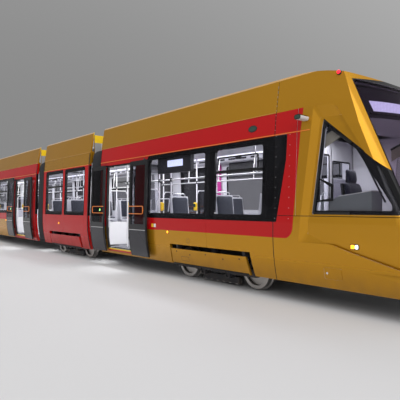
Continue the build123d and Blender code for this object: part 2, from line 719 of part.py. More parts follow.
def nose():
    """Cab nose: one moulded shell with a recess in either side, hollow, open to the saloon and below."""
    outer = nose_solid(0)
    floor = nose_solid(SCALLOP)
    hollow = nose_solid(NOSE_WALL)
    proud = nose_solid(-20)
    skin = proud - nose_solid(GROOVE)
    shell = outer - hollow
    shell -= block(SEAM - 20, NOSE_TIP - 100, -HALF_SKIRT + WALL, HALF_SKIRT - WALL, 0, SKIRT + 20)
    rim = proud - nose_solid(LEDGE)
    shell -= (screen_prism(0) + lamp_prism(0)) & rim
    shell -= screen_prism(-LEDGE_WIDTH)
    for cutter in recess_cutters(floor):
        shell -= cutter
        shell -= flip_y(cutter)
    glass = side_prism(from_seam(CAB_GLASS), 25, PILLAR_EDGE, 1400)
    side_cuts = glass & (proud - nose_solid(SCALLOP + LEDGE))
    side_cuts += side_prism(from_seam(CAB_CLEAR), 25, 700, 1400)
    band = side_prism(from_seam(NOSE_BAND), 20, 900, 1400)
    side_cuts += band & side_piece(-50, REBATE, SEAM, SEAM + 400, BAND_LOW, BAND_HIGH)
    flap = side_prism(from_seam(SERVICE_FLAP), 20, 900, 1400, GROOVE_HALF)
    flap -= side_prism(from_seam(SERVICE_FLAP), 20, 900, 1400, -GROOVE_HALF)
    side_cuts += flap & skin
    x_line = SEAM + PANEL_LINE
    side_cuts += block(x_line - GROOVE_HALF, x_line + GROOVE_HALF, 900, 1400, SEAM_LINE, CANTRAIL) & skin
    slot = block(SEAM - 20, NOSE_TIP, -1400, 1400, SEAM_LINE - GROOVE_HALF, SEAM_LINE + GROOVE_HALF)
    sunk = side_prism(from_seam(RECESS_FLOOR), 0, PILLAR_EDGE, 1400)
    sunk &= nose_solid(SCALLOP - 1) - nose_solid(SCALLOP + GROOVE)
    shell -= slot & skin
    shell -= both_sides(side_cuts + (slot & sunk))
    shell += both_sides(camera_pod())
    backed = nose_solid(NOSE_WALL - 1)
    shell += block(SEAM, NOSE_TIP, -1500, 1500, CEILING, CEILING + 80) & backed
    shell += block(SEAM, SEAM + BULKHEAD, -1500, 1500, CEILING, ROOF_TOP) & backed
    return shell


def nose_glass():
    """Windscreen, lamp glasses, cab side windows and the ends of the saloon's glass bands."""
    skin = nose_solid(GLASS_INSET) - nose_solid(LEDGE - SEAT_GAP)
    panes = [skin & screen_prism(-PANE_GAP), skin & lamp_prism(-PANE_GAP)]
    side = nose_solid(SCALLOP + GLASS_INSET) - nose_solid(SCALLOP + LEDGE - SEAT_GAP)
    side &= side_prism(from_seam(CAB_GLASS), 25, PILLAR_EDGE + PANE_GAP, 1400, -PANE_GAP)
    band = side_piece(REBATE - PANE, REBATE, SEAM + PANE_GAP, SEAM + 400, BAND_LOW, BAND_HIGH)
    band &= side_prism(from_seam(NOSE_BAND), 20, 900, 1400, -PANE_GAP)
    return panes + [side, flip_y(side), band, flip_y(band)]


PODIUM = 150              # height of the cab floor above the saloon floor
TOW_RADIUS = 22           # bore for the tow bar's pin, up into the bracket under the nose
TOW_DEPTH = 45
TOW_BACK = 230            # from the tip to that bore
DESK_START = SEAM + 1500
DESK_TOP = 1330
WING_LENGTH = 600         # side consoles behind the desk
WING_INNER = 800
WING_TOP = 1590
SEAT_X = SEAM + 720
SEAT_RISE = 480           # underside of the driver's cushion above the cab floor


def cab_floor():
    """Floor under the cab with the driver's podium and the tow bracket."""
    inner = nose_solid(NOSE_WALL + 1)
    slab = block(SEAM, NOSE_TIP, -1500, 1500, FLOOR_TOP - FLOOR_THICK, FLOOR_TOP) & inner
    podium = block(SEAM + 60, SEAM + 1500, -900, 900, FLOOR_TOP - 1, FLOOR_TOP + PODIUM)
    low = SKIRT - TOW_DEPTH
    bracket = block(NOSE_TIP - 700, NOSE_TIP - 160, -90, 90, low, SKIRT + 15)
    bracket += block(NOSE_TIP - 700, NOSE_TIP - 400, -90, 90, low, FLOOR_TOP - FLOOR_THICK + 15)
    bracket -= Pos(NOSE_TIP - TOW_BACK, 0, low + TOW_DEPTH / 2 - 5) * Cylinder(TOW_RADIUS, TOW_DEPTH + 10)
    return slab + podium + bracket


def partition():
    """Wall between the cab and the saloon with its glazed door opening."""
    height = CEILING - FLOOR_TOP - 2 * SEAT_GAP
    middle = Pos(0, (FLOOR_TOP + CEILING) / 2)
    section = body_section(WALL + SEAT_GAP) & (middle * Rectangle(2 * HALF_WIDTH, height))
    wall = across(section, SEAM - 60, SEAM - 20)
    wall -= block(SEAM - 100, SEAM, -330, 330, 1100, 2300)
    for side in (-1, 1):
        low, high = sorted((side * 430, side * 1000))
        wall -= block(SEAM - 100, SEAM, low, high, 1300, 2200)
    return wall


def cab_desk():
    """Driver's desk across the cab under the windscreen."""
    profile = [
        (DESK_START, FLOOR_TOP + 1),
        (DESK_START, DESK_TOP - 100),
        (DESK_START - 100, DESK_TOP - 70),
        (DESK_START - 80, DESK_TOP - 30),
        (DESK_START + 300, DESK_TOP),
        (DESK_START + 800, DESK_TOP - 20),
        (DESK_START + 800, FLOOR_TOP + 1),
    ]
    desk = side_prism(profile, 0, -1150, 1150)
    low = FLOOR_TOP + PODIUM + SEAT_GAP
    wing = side_prism(
        [
            (DESK_START - WING_LENGTH, low),
            (DESK_START - WING_LENGTH, WING_TOP - 120),
            (DESK_START - WING_LENGTH + 140, WING_TOP - 60),
            (DESK_START + 10, WING_TOP),
            (DESK_START + 10, low),
        ],
        0, WING_INNER, WING_INNER + 280,
    )
    return (desk + both_sides(wing)) & nose_solid(NOSE_WALL + 3)


def driver_seat():
    """Driver's seat on its pedestal with a headrest."""
    x = SEAT_X
    foot_z = FLOOR_TOP + PODIUM
    base = foot_z + SEAT_RISE
    cushion = block(x - 60, x + 400, -240, 240, base, base + 100)
    cushion = fillet(cushion.edges().filter_by(Axis.Z), 50)
    back_side = [
        (x - 100, base + 40),
        (x + 20, base + 40),
        (x - 60, base + 740),
        (x - 150, base + 740),
    ]
    back = side_prism(back_side, 0, -230, 230)
    head = block(x - 165, x - 75, -130, 130, base + 730, base + 950)
    foot = Pos(x + 150, 0, foot_z + (SEAT_RISE + 1) / 2) * Cylinder(110, SEAT_RISE + 1)
    return cushion + back + head + foot


# Running gear
for name, x_mid, powered in (("cab_bogie", CAB_BOGIE, True), ("middle_bogie", BOGIE_MID, False)):
    save_pair(name, bogie(x_mid, powered))

number = 1
for x_mid in (CAB_BOGIE, BOGIE_MID, -BOGIE_MID, -CAB_BOGIE):
    for end in (1, -1):
        save(f"wheelset_{number}", wheelset(x_mid + end * WHEELBASE / 2))
        number += 1

# Cab modules
floor = underframe(CAB_START, SEAM, CAB_BOGIE) + cab_floor()
save_pair("underframe", gangway_fork(floor, PIVOT_OUTER, 1))
cab_wall = side_wall(CAB_START, SEAM, [CAB_BAND], CAB_WINDOWS, [CAB_DOOR], CAB_BOGIE, CAB_SEAMS)
cab_cover = bogie_cover(CAB_BOGIE)
save_pair("side_walls", gather(cab_wall, flip_y(cab_wall), cab_cover, flip_y(cab_cover)))
save_pair("roof", roof(CAB_START, SEAM) + roof_case(CAB_START + 700, CAB_START + 3300, 780, 430)
          + roof_case(CAB_START + 3700, CAB_START + 5300, 700, 360))
save_pair("nose", nose())
cab_joint = (CAB_WINDOWS[0][1] + CAB_WINDOWS[1][0]) / 2
panes = [band_pane(CAB_BAND, CAB_BAND[0], cab_joint), band_pane(CAB_BAND, cab_joint, SEAM)]
save_pair("glazing", gather(*panes, *[flip_y(pane) for pane in panes], *nose_glass()))
save_pair("doors", doors([CAB_DOOR]))
save_pair("partition", partition())
save_pair("cab_desk", cab_desk())
save_pair("driver_seat", driver_seat())
cab_seats = [
    (CAB_BOGIE + dx, side * 820, facing, BOX_TOP)
    for dx, facing in ((-1000, 1), (-330, -1), (330, 1), (1000, -1))
    for side in (-1, 1)
]
cab_poles = [(CAB_DOOR + dx, side * 560) for dx in (-700, 700, 1150) for side in (-1, 1)]
save_pair("seats_and_poles", seats_and_poles(cab_seats, cab_poles))

# Bogie modules
floor = underframe(BOGIE_START, BOGIE_END, BOGIE_MID)
floor = gangway_fork(floor, PIVOT_INNER, 1)
save_pair("middle_underframe", gangway_tongue(floor, PIVOT_OUTER, 1))
bands = single_bands(BOGIE_WINDOWS)
wall = side_wall(BOGIE_START, BOGIE_END, bands, BOGIE_WINDOWS, [], BOGIE_MID, BOGIE_SEAMS)
cover = bogie_cover(BOGIE_MID)
save_pair("middle_side_walls", gather(wall, flip_y(wall), cover, flip_y(cover)))
bogie_roof_case = roof_case(BOGIE_START + 500, BOGIE_END - 500, 700, 330)
save_pair("middle_roof", roof(BOGIE_START, BOGIE_END) + bogie_roof_case)
panes = [band_pane(band, *band) for band in single_bands(BOGIE_WINDOWS)]
save_pair("middle_glazing", gather(*panes, *[flip_y(pane) for pane in panes]))
middle_seats = [
    (BOGIE_MID + dx, side * 820, facing, BOX_TOP)
    for dx, facing in ((-1000, 1), (-330, -1), (330, 1), (1000, -1))
    for side in (-1, 1)
]
middle_poles = [(BOGIE_MID, side * 560) for side in (-1, 1)]
save_pair("middle_seats_and_poles", seats_and_poles(middle_seats, middle_poles))

# Centre module
floor = underframe(-CENTRE_END, CENTRE_END, None)
floor = gangway_tongue(floor, PIVOT_INNER, 1)
save("centre_underframe", gangway_tongue(floor, -PIVOT_INNER, -1))
doors_x = [-CENTRE_DOOR, CENTRE_DOOR]
wall = side_wall(-CENTRE_END, CENTRE_END, [CENTRE_BAND], CENTRE_WINDOWS, doors_x, None, CENTRE_SEAMS)
save("centre_side_walls", gather(wall, flip_y(wall)))
save("centre_roof", roof(-CENTRE_END, CENTRE_END) + roof_case(300, 3300, 780, 430))
panes = [band_pane(CENTRE_BAND, CENTRE_BAND[0], 0), band_pane(CENTRE_BAND, 0, CENTRE_BAND[1])]
save("centre_glazing", gather(*panes, *[flip_y(pane) for pane in panes]))
save("centre_doors", doors([-CENTRE_DOOR, CENTRE_DOOR]))
centre_seats = [
    (dx, side * 820, facing, FLOOR_TOP)
    for dx, facing in ((-1500, 1), (-750, -1), (0, 1), (750, -1), (1500, -1))
    for side in (-1, 1)
]
centre_poles = [(x, side * 560) for x in (-3600, -2100, 2100, 3600) for side in (-1, 1)]
save("centre_seats_and_poles", seats_and_poles(centre_seats, centre_poles))

# Gangways
for name, start in (("inner_bellows", CENTRE_END), ("outer_bellows", BOGIE_END)):
    save_pair(name, bellows(start + SEAT_GAP, start + GANGWAY - SEAT_GAP))


# Pantograph on the centre roof, folded, with its knee towards the rear
PANTO_X = -700
PANTO_FOOT = DECK_TOP + 270
LOWER_ARM = 1500
UPPER_ARM = 1700


def pantograph_base():
    frame = block(PANTO_X - 1700, PANTO_X + 250, -420, -340, PANTO_FOOT - 90, PANTO_FOOT - 30)
    frame = both_sides(frame)
    for x in (PANTO_X - 1650, PANTO_X + 130):
        frame += block(x, x + 80, -420, 420, PANTO_FOOT - 90, PANTO_FOOT - 30)
        for side in (-1, 1):
            foot = PANTO_FOOT - 90
            frame += Pos(x + 40, side * 380, (DECK_TOP + foot) / 2) * Cylinder(45, foot - DECK_TOP)
    for side in (-1, 1):
        y_low, y_high = sorted((side * 150, side * 190))
        frame += block(PANTO_X - 50, PANTO_X + 50, y_low, y_high, PANTO_FOOT - 60, PANTO_FOOT + 50)
    frame += block(PANTO_X - 60, PANTO_X + 60, -420, 420, PANTO_FOOT - 90, PANTO_FOOT - 50)
    frame -= Pos(PANTO_X, 0, PANTO_FOOT) * (Rot(90, 0, 0) * Cylinder(25.05, 500))
    return frame


def lower_arm():
    knee_x = PANTO_X - LOWER_ARM
    arm = Pos(PANTO_X, 0, PANTO_FOOT) * (Rot(90, 0, 0) * Cylinder(25, 400))
    arm += Pos(PANTO_X, 0, PANTO_FOOT) * (Rot(90, 0, 0) * Cylinder(45, 280))
    arm += Pos((PANTO_X + knee_x) / 2, 0, PANTO_FOOT) * (Rot(0, 90, 0) * Cylinder(40, LOWER_ARM))
    arm += Pos(knee_x, 0, PANTO_FOOT) * (Rot(90, 0, 0) * Cylinder(45, 120))
    arm += Pos(knee_x, 0, PANTO_FOOT) * (Rot(90, 0, 0) * Cylinder(22, 260))
    return arm


def upper_arm():
    knee_x = PANTO_X - LOWER_ARM
    head_x = knee_x + UPPER_ARM
    arm = None
    for side in (-1, 1):
        y_low, y_high = sorted((side * 65, side * 115))
        tube = side_prism(
            [(knee_x - 40, PANTO_FOOT - 30), (knee_x + 40, PANTO_FOOT - 40), (head_x, PANTO_FOOT + 80),
             (head_x, PANTO_FOOT + 110), (knee_x - 20, PANTO_FOOT + 45)], 0, y_low, y_high)
        arm = tube if arm is None else arm + tube
    arm += Pos(head_x, 0, PANTO_FOOT + 110) * (Rot(90, 0, 0) * Cylinder(30, 600))
    arm += block(head_x - 45, head_x + 15, -115, 115, PANTO_FOOT + 80, PANTO_FOOT + 110)
    arm -= Pos(knee_x, 0, PANTO_FOOT) * (Rot(90, 0, 0) * Cylinder(22.05, 400))
    return arm


def collector_head():
    head_x = PANTO_X - LOWER_ARM + UPPER_ARM
    z = PANTO_FOOT + 110
    head = None
    for side in (-1, 1):
        y_low, y_high = sorted((side * 310, side * 350))
        cheek = block(head_x - 220, head_x + 220, y_low, y_high, z - 35, z + 45)
        head = cheek if head is None else head + cheek
    for end in (-1, 1):
        x = head_x + end * 190
        head += block(x - 25, x + 25, -520, 520, z + 40, z + 75)
        for side in (-1, 1):
            horn = [
                (side * 510, z + 40),
                (side * 510, z + 75),
                (side * 720, z + 20),
                (side * 840, z - 110),
                (side * 800, z - 120),
                (side * 700, z - 10),
            ]
            face = make_face(Polyline(*horn, close=True))
            head += across(face, x - 20, x + 20)
    head += Pos(head_x, 0, z) * (Rot(90, 0, 0) * Cylinder(20, 700))
    head -= Pos(head_x, 0, z) * (Rot(90, 0, 0) * Cylinder(30.3, 601))
    return head


save("pantograph_base", pantograph_base())
save("pantograph_lower_arm", lower_arm())
save("pantograph_upper_arm", upper_arm())
save("pantograph_head", collector_head())
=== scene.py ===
from math import cos, hypot, pi, radians, sin, sqrt

import bmesh
import bpy
from mathutils import Matrix, Vector


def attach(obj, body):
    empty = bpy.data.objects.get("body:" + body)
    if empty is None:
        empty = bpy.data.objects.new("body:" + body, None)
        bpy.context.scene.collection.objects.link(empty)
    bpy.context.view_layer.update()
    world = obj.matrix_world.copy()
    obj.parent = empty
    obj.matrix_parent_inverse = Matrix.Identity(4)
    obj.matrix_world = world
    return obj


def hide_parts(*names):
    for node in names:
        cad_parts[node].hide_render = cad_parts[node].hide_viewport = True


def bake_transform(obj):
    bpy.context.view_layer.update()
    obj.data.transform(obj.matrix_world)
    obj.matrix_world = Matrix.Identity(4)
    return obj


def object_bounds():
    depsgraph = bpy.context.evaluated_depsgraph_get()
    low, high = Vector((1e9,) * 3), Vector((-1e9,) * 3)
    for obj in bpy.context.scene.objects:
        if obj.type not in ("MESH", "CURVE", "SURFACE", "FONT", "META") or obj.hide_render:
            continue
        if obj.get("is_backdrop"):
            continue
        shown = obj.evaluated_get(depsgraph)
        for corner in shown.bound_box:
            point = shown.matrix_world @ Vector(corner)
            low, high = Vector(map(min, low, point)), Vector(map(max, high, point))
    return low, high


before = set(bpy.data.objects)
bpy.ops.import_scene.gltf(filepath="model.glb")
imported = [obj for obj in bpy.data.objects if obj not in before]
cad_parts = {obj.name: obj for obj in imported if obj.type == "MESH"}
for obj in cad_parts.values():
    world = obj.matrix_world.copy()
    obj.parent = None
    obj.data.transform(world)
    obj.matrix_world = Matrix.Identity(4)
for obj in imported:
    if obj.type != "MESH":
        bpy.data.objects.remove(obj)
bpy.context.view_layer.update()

# Places in metres, as in the CAD. Heights are from the rail top.
# LIFT is the depth of the wheel flanges below it.
LIFT = 0.026
CENTRE_END = 4.3
CENTRE_DOOR = 2.85
BOGIE_START = 4.9
BOGIE_MID = 6.5
BOGIE_END = 8.1
CAB_START = 8.7
CAB_DOOR = 9.72
CAB_BOGIE = 12.71
SEAM = 14.31
TIP = 17.0
FLOOR = 0.4
DECK = 2.76
WHEEL_RADIUS = 0.295
DOORWAY = 1.3
DOOR_OVERLAP = 0.06
LEAF = 0.66
LEAF_OUT = 0.106
SHUT_GAP = 0.004
SILL = 0.9
BAND_FOOT = 1.165
TRIM_HEIGHT = 2.482
GUTTER = 2.828
GLASS_TOP = 2.47
RAIL_Y = 0.56
RAIL_HEIGHT = 1.99
CEILING = 2.558
SEAT_Y = 0.82
AXLE_STEP = 0.9
CASE_HIGH = 0.43
CASE_MIDDLE = 0.36
CASE_LOW = 0.33
FRAME_INSET = 0.022

# Section of the side: three points of the arc of its skirt, then the height and half width of each bend
SKIRT_ARC = ((1.105, 0.28), (1.172, 0.6), (1.2, 0.93))
SIDE_BENDS = ((0.93, 1.2), (BAND_FOOT, 1.2), (GLASS_TOP, 1.155), (2.82, 1.12), (3.36, 1.045))

# The windscreen leans back from the nose's shoulder and is bowed about an upright line
SHOULDER = 1.08
SCREEN_FOOT = 2.41
SCREEN_LEAN = 0.47
SCREEN_BOW = 2.05
CHIN_TOP = 0.85
CHIN_DEPTH = 0.28
LAMP_HEIGHT = 0.69

FLOOR_REACH = 150
WATTS_PER_METRE = 24

CAMERA_PLACE = (18.6, -6.3, 1.416)
CAMERA_TURN = 49.6
CAMERA_LENS = 39.06
CAMERA_SHIFT = 0.0175


def arc_of(first, middle, last):
    """Centre and radius of the circle through three points."""
    (ax, ay), (bx, by), (cx, cy) = first, middle, last
    d = 2 * (ax * (by - cy) + bx * (cy - ay) + cx * (ay - by))
    a, b, c = ax * ax + ay * ay, bx * bx + by * by, cx * cx + cy * cy
    x = (a * (by - cy) + b * (cy - ay) + c * (ay - by)) / d
    y = (a * (cx - bx) + b * (ax - cx) + c * (bx - ax)) / d
    return x, y, hypot(ax - x, ay - y)


ARC_Y, ARC_Z, ARC_RADIUS = arc_of(*SKIRT_ARC)


def half_width(z):
    """Half width of the body at a height above the rail."""
    if z < SIDE_BENDS[0][0]:
        return ARC_Y + sqrt(max(ARC_RADIUS**2 - (z - ARC_Z) ** 2, 0))
    below = max(k for k in range(len(SIDE_BENDS) - 1) if z >= SIDE_BENDS[k][0])
    (low, wide), (high, narrow) = SIDE_BENDS[below : below + 2]
    return wide + (z - low) / (high - low) * (narrow - wide)


def circle(count, radius=1.0):
    """Even steps round a circle."""
    return [(radius * cos(2 * pi * k / count), radius * sin(2 * pi * k / count)) for k in range(count)]


def leaf_places(middle, gap):
    """Side, low end and high end of each leaf of a doorway, and whether it closes at its low end.

    The leaves are open on one side of the tram and shut on the other, with a gap from the middle.
    """
    shut = DOORWAY / 2 - SHUT_GAP
    opening = DOORWAY / 2 - DOOR_OVERLAP
    return (
        (-1, middle - opening - LEAF, middle - opening, False),
        (-1, middle + opening, middle + opening + LEAF, True),
        (1, middle - shut, middle - gap, False),
        (1, middle + gap, middle + shut, True),
    )


# Materials
class Value:
    """A shader value that plain arithmetic and comparisons turn into Math nodes."""

    def __init__(self, tree, socket):
        self.tree = tree
        self.socket = socket

    def math(self, operation, *others):
        node = self.tree.nodes.new("ShaderNodeMath")
        node.operation = operation
        for slot, item in zip(node.inputs, (self, *others)):
            if isinstance(item, Value):
                self.tree.links.new(item.socket, slot)
            else:
                slot.default_value = item
        return Value(self.tree, node.outputs[0])

    def __add__(self, other):
        return self.math("ADD", other)

    def __sub__(self, other):
        return self.math("SUBTRACT", other)

    def __mul__(self, other):
        return self.math("MULTIPLY", other)

    def __abs__(self):
        return self.math("ABSOLUTE")

    def above(self, other):
        return self.math("GREATER_THAN", other)

    def below(self, other):
        return self.math("LESS_THAN", other)

    def between(self, low, high):
        return self.above(low) * self.below(high)

    def near(self, other, width):
        """One where this is within half of width of other."""
        return abs(self - other).below(width / 2)

    def either(self, other):
        return self.math("MAXIMUM", other)

    def positive(self):
        """This, or zero where it is negative."""
        return self.math("MAXIMUM", 0.0)

    def inverse(self):
        return self * -1 + 1


class Finish:
    """A material under way: where a point lies, the colours laid over each other, and its shine."""

    def __init__(self, name, colour, rough, metal=0.0, coat=0.0):
        self.material = bpy.data.materials.new(name)
        self.material.use_nodes = True
        self.tree = self.material.node_tree
        self.shader = self.tree.nodes["Principled BSDF"]
        self.surface = self.shader.outputs[0]
        place = self.tree.nodes.new("ShaderNodeTexCoord")
        self.place = place.outputs["Object"]
        self.x, self.y, height = self.split(self.place)
        self.z = height - LIFT
        self.nx, self.ny, self.nz = self.split(place.outputs["Normal"])
        self.colour = colour
        self.rough = rough
        self.metal = metal
        self.shine(self.shader, coat, 0.2, 0.06)

    def shine(self, shader, coat, gloss, blur=0.03):
        """Sets the clear coat, the strength of the shine below it, and the coat's roughness."""
        shader.inputs["Coat Weight"].default_value = coat
        shader.inputs["Specular IOR Level"].default_value = gloss
        shader.inputs["Coat Roughness"].default_value = blur

    def split(self, socket):
        node = self.tree.nodes.new("ShaderNodeSeparateXYZ")
        self.tree.links.new(socket, node.inputs[0])
        return [Value(self.tree, out) for out in node.outputs]

    def stretched(self, stretch):
        """Place of a point, with each direction scaled."""
        mapping = self.tree.nodes.new("ShaderNodeMapping")
        mapping.inputs["Scale"].default_value = stretch
        self.tree.links.new(self.place, mapping.inputs[0])
        return mapping.outputs[0]

    def noise(self, scale, detail=3.0, stretch=None):
        node = self.tree.nodes.new("ShaderNodeTexNoise")
        node.inputs["Scale"].default_value = scale
        node.inputs["Detail"].default_value = detail
        self.link(self.stretched(stretch) if stretch else self.place, node.inputs["Vector"])
        return Value(self.tree, node.outputs[0])

    def cells(self, scale):
        node = self.tree.nodes.new("ShaderNodeTexVoronoi")
        node.inputs["Scale"].default_value = scale
        self.link(self.place, node.inputs["Vector"])
        return Value(self.tree, node.outputs["Distance"])

    def wave(self, value, pitch):
        """Smooth ripple of a coordinate, from 0 to 1, once every pitch."""
        return (value * (2 * pi / pitch)).math("SINE") * 0.5 + 0.5

    def link(self, item, slot):
        if isinstance(item, Value):
            self.tree.links.new(item.socket, slot)
        elif isinstance(item, bpy.types.NodeSocket):
            self.tree.links.new(item, slot)
        elif isinstance(item, tuple):
            slot.default_value = (*item, 1)
        else:
            slot.default_value = item

    def mixed(self, where, low, high):
        """Colour that goes from low to high as the value goes from 0 to 1."""
        node = self.tree.nodes.new("ShaderNodeMix")
        node.data_type = "RGBA"
        for item, slot in ((where, 0), (low, 6), (high, 7)):
            self.link(item, node.inputs[slot])
        return node.outputs[2]

    def over(self, where, colour):
        """Lays a colour over what is there already, where the value is one."""
        self.colour = self.mixed(where, self.colour, colour)

    def mix_surface(self, share, other):
        """Shows another shader where the share is 0, and what was there before where it is 1."""
        node = self.tree.nodes.new("ShaderNodeMixShader")
        for item, slot in zip((share, other, self.surface), node.inputs):
            self.link(item, slot)
        self.surface = node.outputs[0]
        self.link(self.surface, self.tree.nodes["Material Output"].inputs["Surface"])

    def vary(self, value, amount):
        """Makes the colour darker and lighter by a share as the value goes from 0 to 1."""
        node = self.tree.nodes.new("ShaderNodeVectorMath")
        node.operation = "SCALE"
        if isinstance(self.colour, tuple):
            node.inputs[0].default_value = self.colour
        else:
            self.tree.links.new(self.colour, node.inputs[0])
        self.link((value - 0.5) * (2 * amount) + 1, node.inputs["Scale"])
        self.colour = node.outputs[0]

    def bump(self, height, distance, strength=0.6):
        node = self.tree.nodes.new("ShaderNodeBump")
        node.inputs["Strength"].default_value = strength
        node.inputs["Distance"].default_value = distance
        self.link(height, node.inputs["Height"])
        self.tree.links.new(node.outputs[0], self.shader.inputs["Normal"])

    def done(self):
        self.link(self.colour, self.shader.inputs["Base Color"])
        self.link(self.rough, self.shader.inputs["Roughness"])
        self.link(self.metal, self.shader.inputs["Metallic"])
        return self.material


RED = (0.44, 0.004, 0.005)
GOLD = (0.52, 0.25, 0.012)
BLACK = (0.006, 0.006, 0.007)
LINING = (0.62, 0.62, 0.66)
MUD = (0.09, 0.07, 0.05)
GRIME = (0.13, 0.11, 0.09)
RUST = (0.12, 0.085, 0.055)
GOLD_METAL = 0.62


def body_paint():
    """Red and gold of the walls and noses, a painted reflection in gold on the bogie modules' cantrails, the
    black of the glass bands, and the pale lining inside.
    """
    f = Finish("body_paint", RED, 0.3, coat=0.2)
    x, y, z = abs(f.x), abs(f.y), f.z
    ahead = f.nx * f.x.math("SIGN")
    from_cab = ahead * (x - 15.3) + f.y * f.ny + f.nz * (z - 1.6)
    in_nose = x.above(SEAM)
    outward = in_nose * from_cab.above(0.0)
    outward = outward.either(in_nose.inverse() * (f.y * f.ny).above(-0.02))
    # Front edge of the red area, which leans back and has a rounded lower corner
    lean = x - (z - 1.289) * 0.078
    corner_x, corner_z, corner_radius = 14.53, 1.085, 0.162
    u = (lean - corner_x).positive()
    v = (z * -1 + corner_z).positive()
    red = (u * u + v * v).below(corner_radius**2) * z.below(2.822)
    # Gold in the lower panels of the cab and centre modules, each with an end that is a quarter of an ellipse
    cab = x.above(CAB_START - 0.05)
    centre = x.below(CENTRE_END + 0.05)
    per_length, per_height = 2.13, 2.63
    far = ((x * -1 + 11.4) * per_length).positive()
    middle = ((x - 1.5) * per_length).positive()
    up = ((z - 0.55) * per_height).positive()
    low = (far * far + up * up).below(1.0) * cab
    low = low.either((middle * middle + up * up).below(1.0) * centre)
    gold = low.either(red.inverse() * cab)
    # Gold above 2.5 m on the bogie modules: above the cantrail it is the fairings' gold paint, and from 2.5 m
    # up to the cantrail it is a painted reflection of the lit roof on the red paint
    gold = gold.either(x.between(CENTRE_END + 0.05, CAB_START - 0.05) * z.above(2.5))
    f.over(gold, GOLD)
    flake = f.noise(900, 1.0)
    f.vary(flake, 0.03)
    f.vary(f.noise(0.6, 3.0), 0.05)
    dirt = (z * -1 + 0.62).positive() * 1.5 * f.noise(5, 4.0)
    f.over(dirt, MUD)
    # Rebates of the glass bands, glass ledges and reveals of the windows
    skin = (z - BAND_FOOT) * -0.0345 + 1.2
    sunk = (y - skin).below(-0.005) * z.between(1.16, 2.475) * lean.below(14.69)
    reveal = abs(f.ny).below(0.3) * z.between(1.17, 2.46) * x.below(14.2)
    left = (x - 14.974) * 1.33 - (z - 1.286) * 0.158
    right = (x - 15.132) * 1.218 + (z - 2.616) * 1.468
    ledge = left.above(0.0) * right.below(0.0) * z.above(1.288)
    facing = f.nx * f.x
    screen = facing.above(4.0) * z.between(1.29, 3.11) * ((z - 1.29) * -0.041 + 1.08 - y).above(0.0)
    black = sunk.either(reveal).either(ledge * y.above(0.9)).either(screen)
    pod = (y - skin).above(0.012) * x.above(14.79) * z.between(2.6, 2.7)
    black = black.either(pod)
    # Rounded black panel round the headlamps
    beside = (abs(y - LAMP_HEIGHT) - 0.13).positive()
    over = (abs(z - LAMP_HEIGHT) - 0.015).positive()
    black = black.either((beside * beside + over * over).below(0.05**2) * x.above(16.4))
    f.over(black, BLACK)
    inside = outward.inverse() * z.above(0.3)
    f.over(inside, LINING)
    seam = x.near(SEAM, 0.014) * z.below(3.3)
    seam = seam.either(z.near(1.262, 0.009) * x.above(SEAM) * outward * facing.below(8.0))
    seam = seam.either(x.near(14.725, 0.006) * z.between(2.3, 2.82))
    f.over(seam, (0.01, 0.008, 0.006))
    hidden = black.either(inside)
    f.metal = gold * hidden.inverse() * GOLD_METAL
    f.rough = f.noise(4, 2.0) * 0.03 + 0.25 + inside * 0.3 + dirt
    f.bump(f.noise(1.2, 1.0) * 0.9 + flake * 0.02, 0.0015, 0.3)
    return f.done()


def roof_paint():
    """Gold fairings with a painted highlight in yellow on their end faces, a grey non-slip deck, pale cases
    and the pale ceiling below.
    """
    f = Finish("roof_paint", GOLD, 0.3, coat=0.2)
    y, z = abs(f.y), f.z
    f.vary(f.noise(250, 1.0), 0.012)
    f.vary(f.noise(0.6, 3.0), 0.05)
    gold = y.above(1.0) * (f.y * f.ny).above(-0.3)
    f.over(gold.inverse(), (0.30, 0.30, 0.31))
    grit = f.noise(260, 2.0)
    case = y.below(0.82) * z.above(2.765)
    f.over(case, (0.46, 0.46, 0.47))
    slots = case * f.wave(f.x, 0.11).below(0.25) * abs(f.ny).above(0.9)
    f.over(slots, (0.05, 0.05, 0.055))
    grime = f.noise(2.5, 5.0)
    f.over(grime * grime * 0.5 * f.nz.above(0.3), GRIME)
    # Bright yellow on the end faces of the roof fairings at the module ends: a painted highlight of their
    # gold paint catching the light
    end_highlight = None
    for place in (CENTRE_END, BOGIE_START, BOGIE_END, CAB_START):
        here = abs(f.x).near(place, 0.04)
        end_highlight = here if end_highlight is None else end_highlight.either(here)
    f.over(end_highlight * abs(f.nx).above(0.9) * z.above(3.08) * y.below(1.03), (0.85, 0.55, 0.01))
    ceiling = f.nz.below(-0.6) * z.below(2.7)
    f.over(ceiling, (0.74, 0.74, 0.78))
    f.metal = gold * GOLD_METAL
    f.rough = f.noise(4, 2.0) * 0.03 + 0.28 + gold.inverse() * 0.35
    f.bump(grit * gold.inverse(), 0.0012, 0.4)
    return f.done()


SALOON_TINT = (0.9, 0.9, 0.93)
SCREEN_TINT = (0.72, 0.66, 0.74)


def glass(name, tint, shine=0.02):
    """Tinted pane: what is behind shows through, and the shine grows towards the edges."""
    f = Finish(name, (0.02, 0.02, 0.025), 0.03)
    f.shine(f.shader, 1.0, 0.5)
    edge = f.tree.nodes.new("ShaderNodeLayerWeight")
    edge.inputs["Blend"].default_value = 0.5
    facing = Value(f.tree, edge.outputs["Facing"])
    film = f.noise(1.5, 2.0) * 0.04 + shine
    clear = f.tree.nodes.new("ShaderNodeBsdfTransparent")
    f.link(tint, clear.inputs[0])
    f.mix_surface((facing.math("POWER", 5.0) * 0.5 + film).math("MINIMUM", 1.0), clear.outputs[0])
    f.done()
    return f, clear


def window_glass():
    """Saloon panes clear, the windscreens with a violet grey tint."""
    f, clear = glass("window_glass", SALOON_TINT)
    screen = abs(f.x).above(14.9) * abs(f.y).below(1.094)
    f.link(f.mixed(screen, SALOON_TINT, SCREEN_TINT), clear.inputs[0])
    return f.material


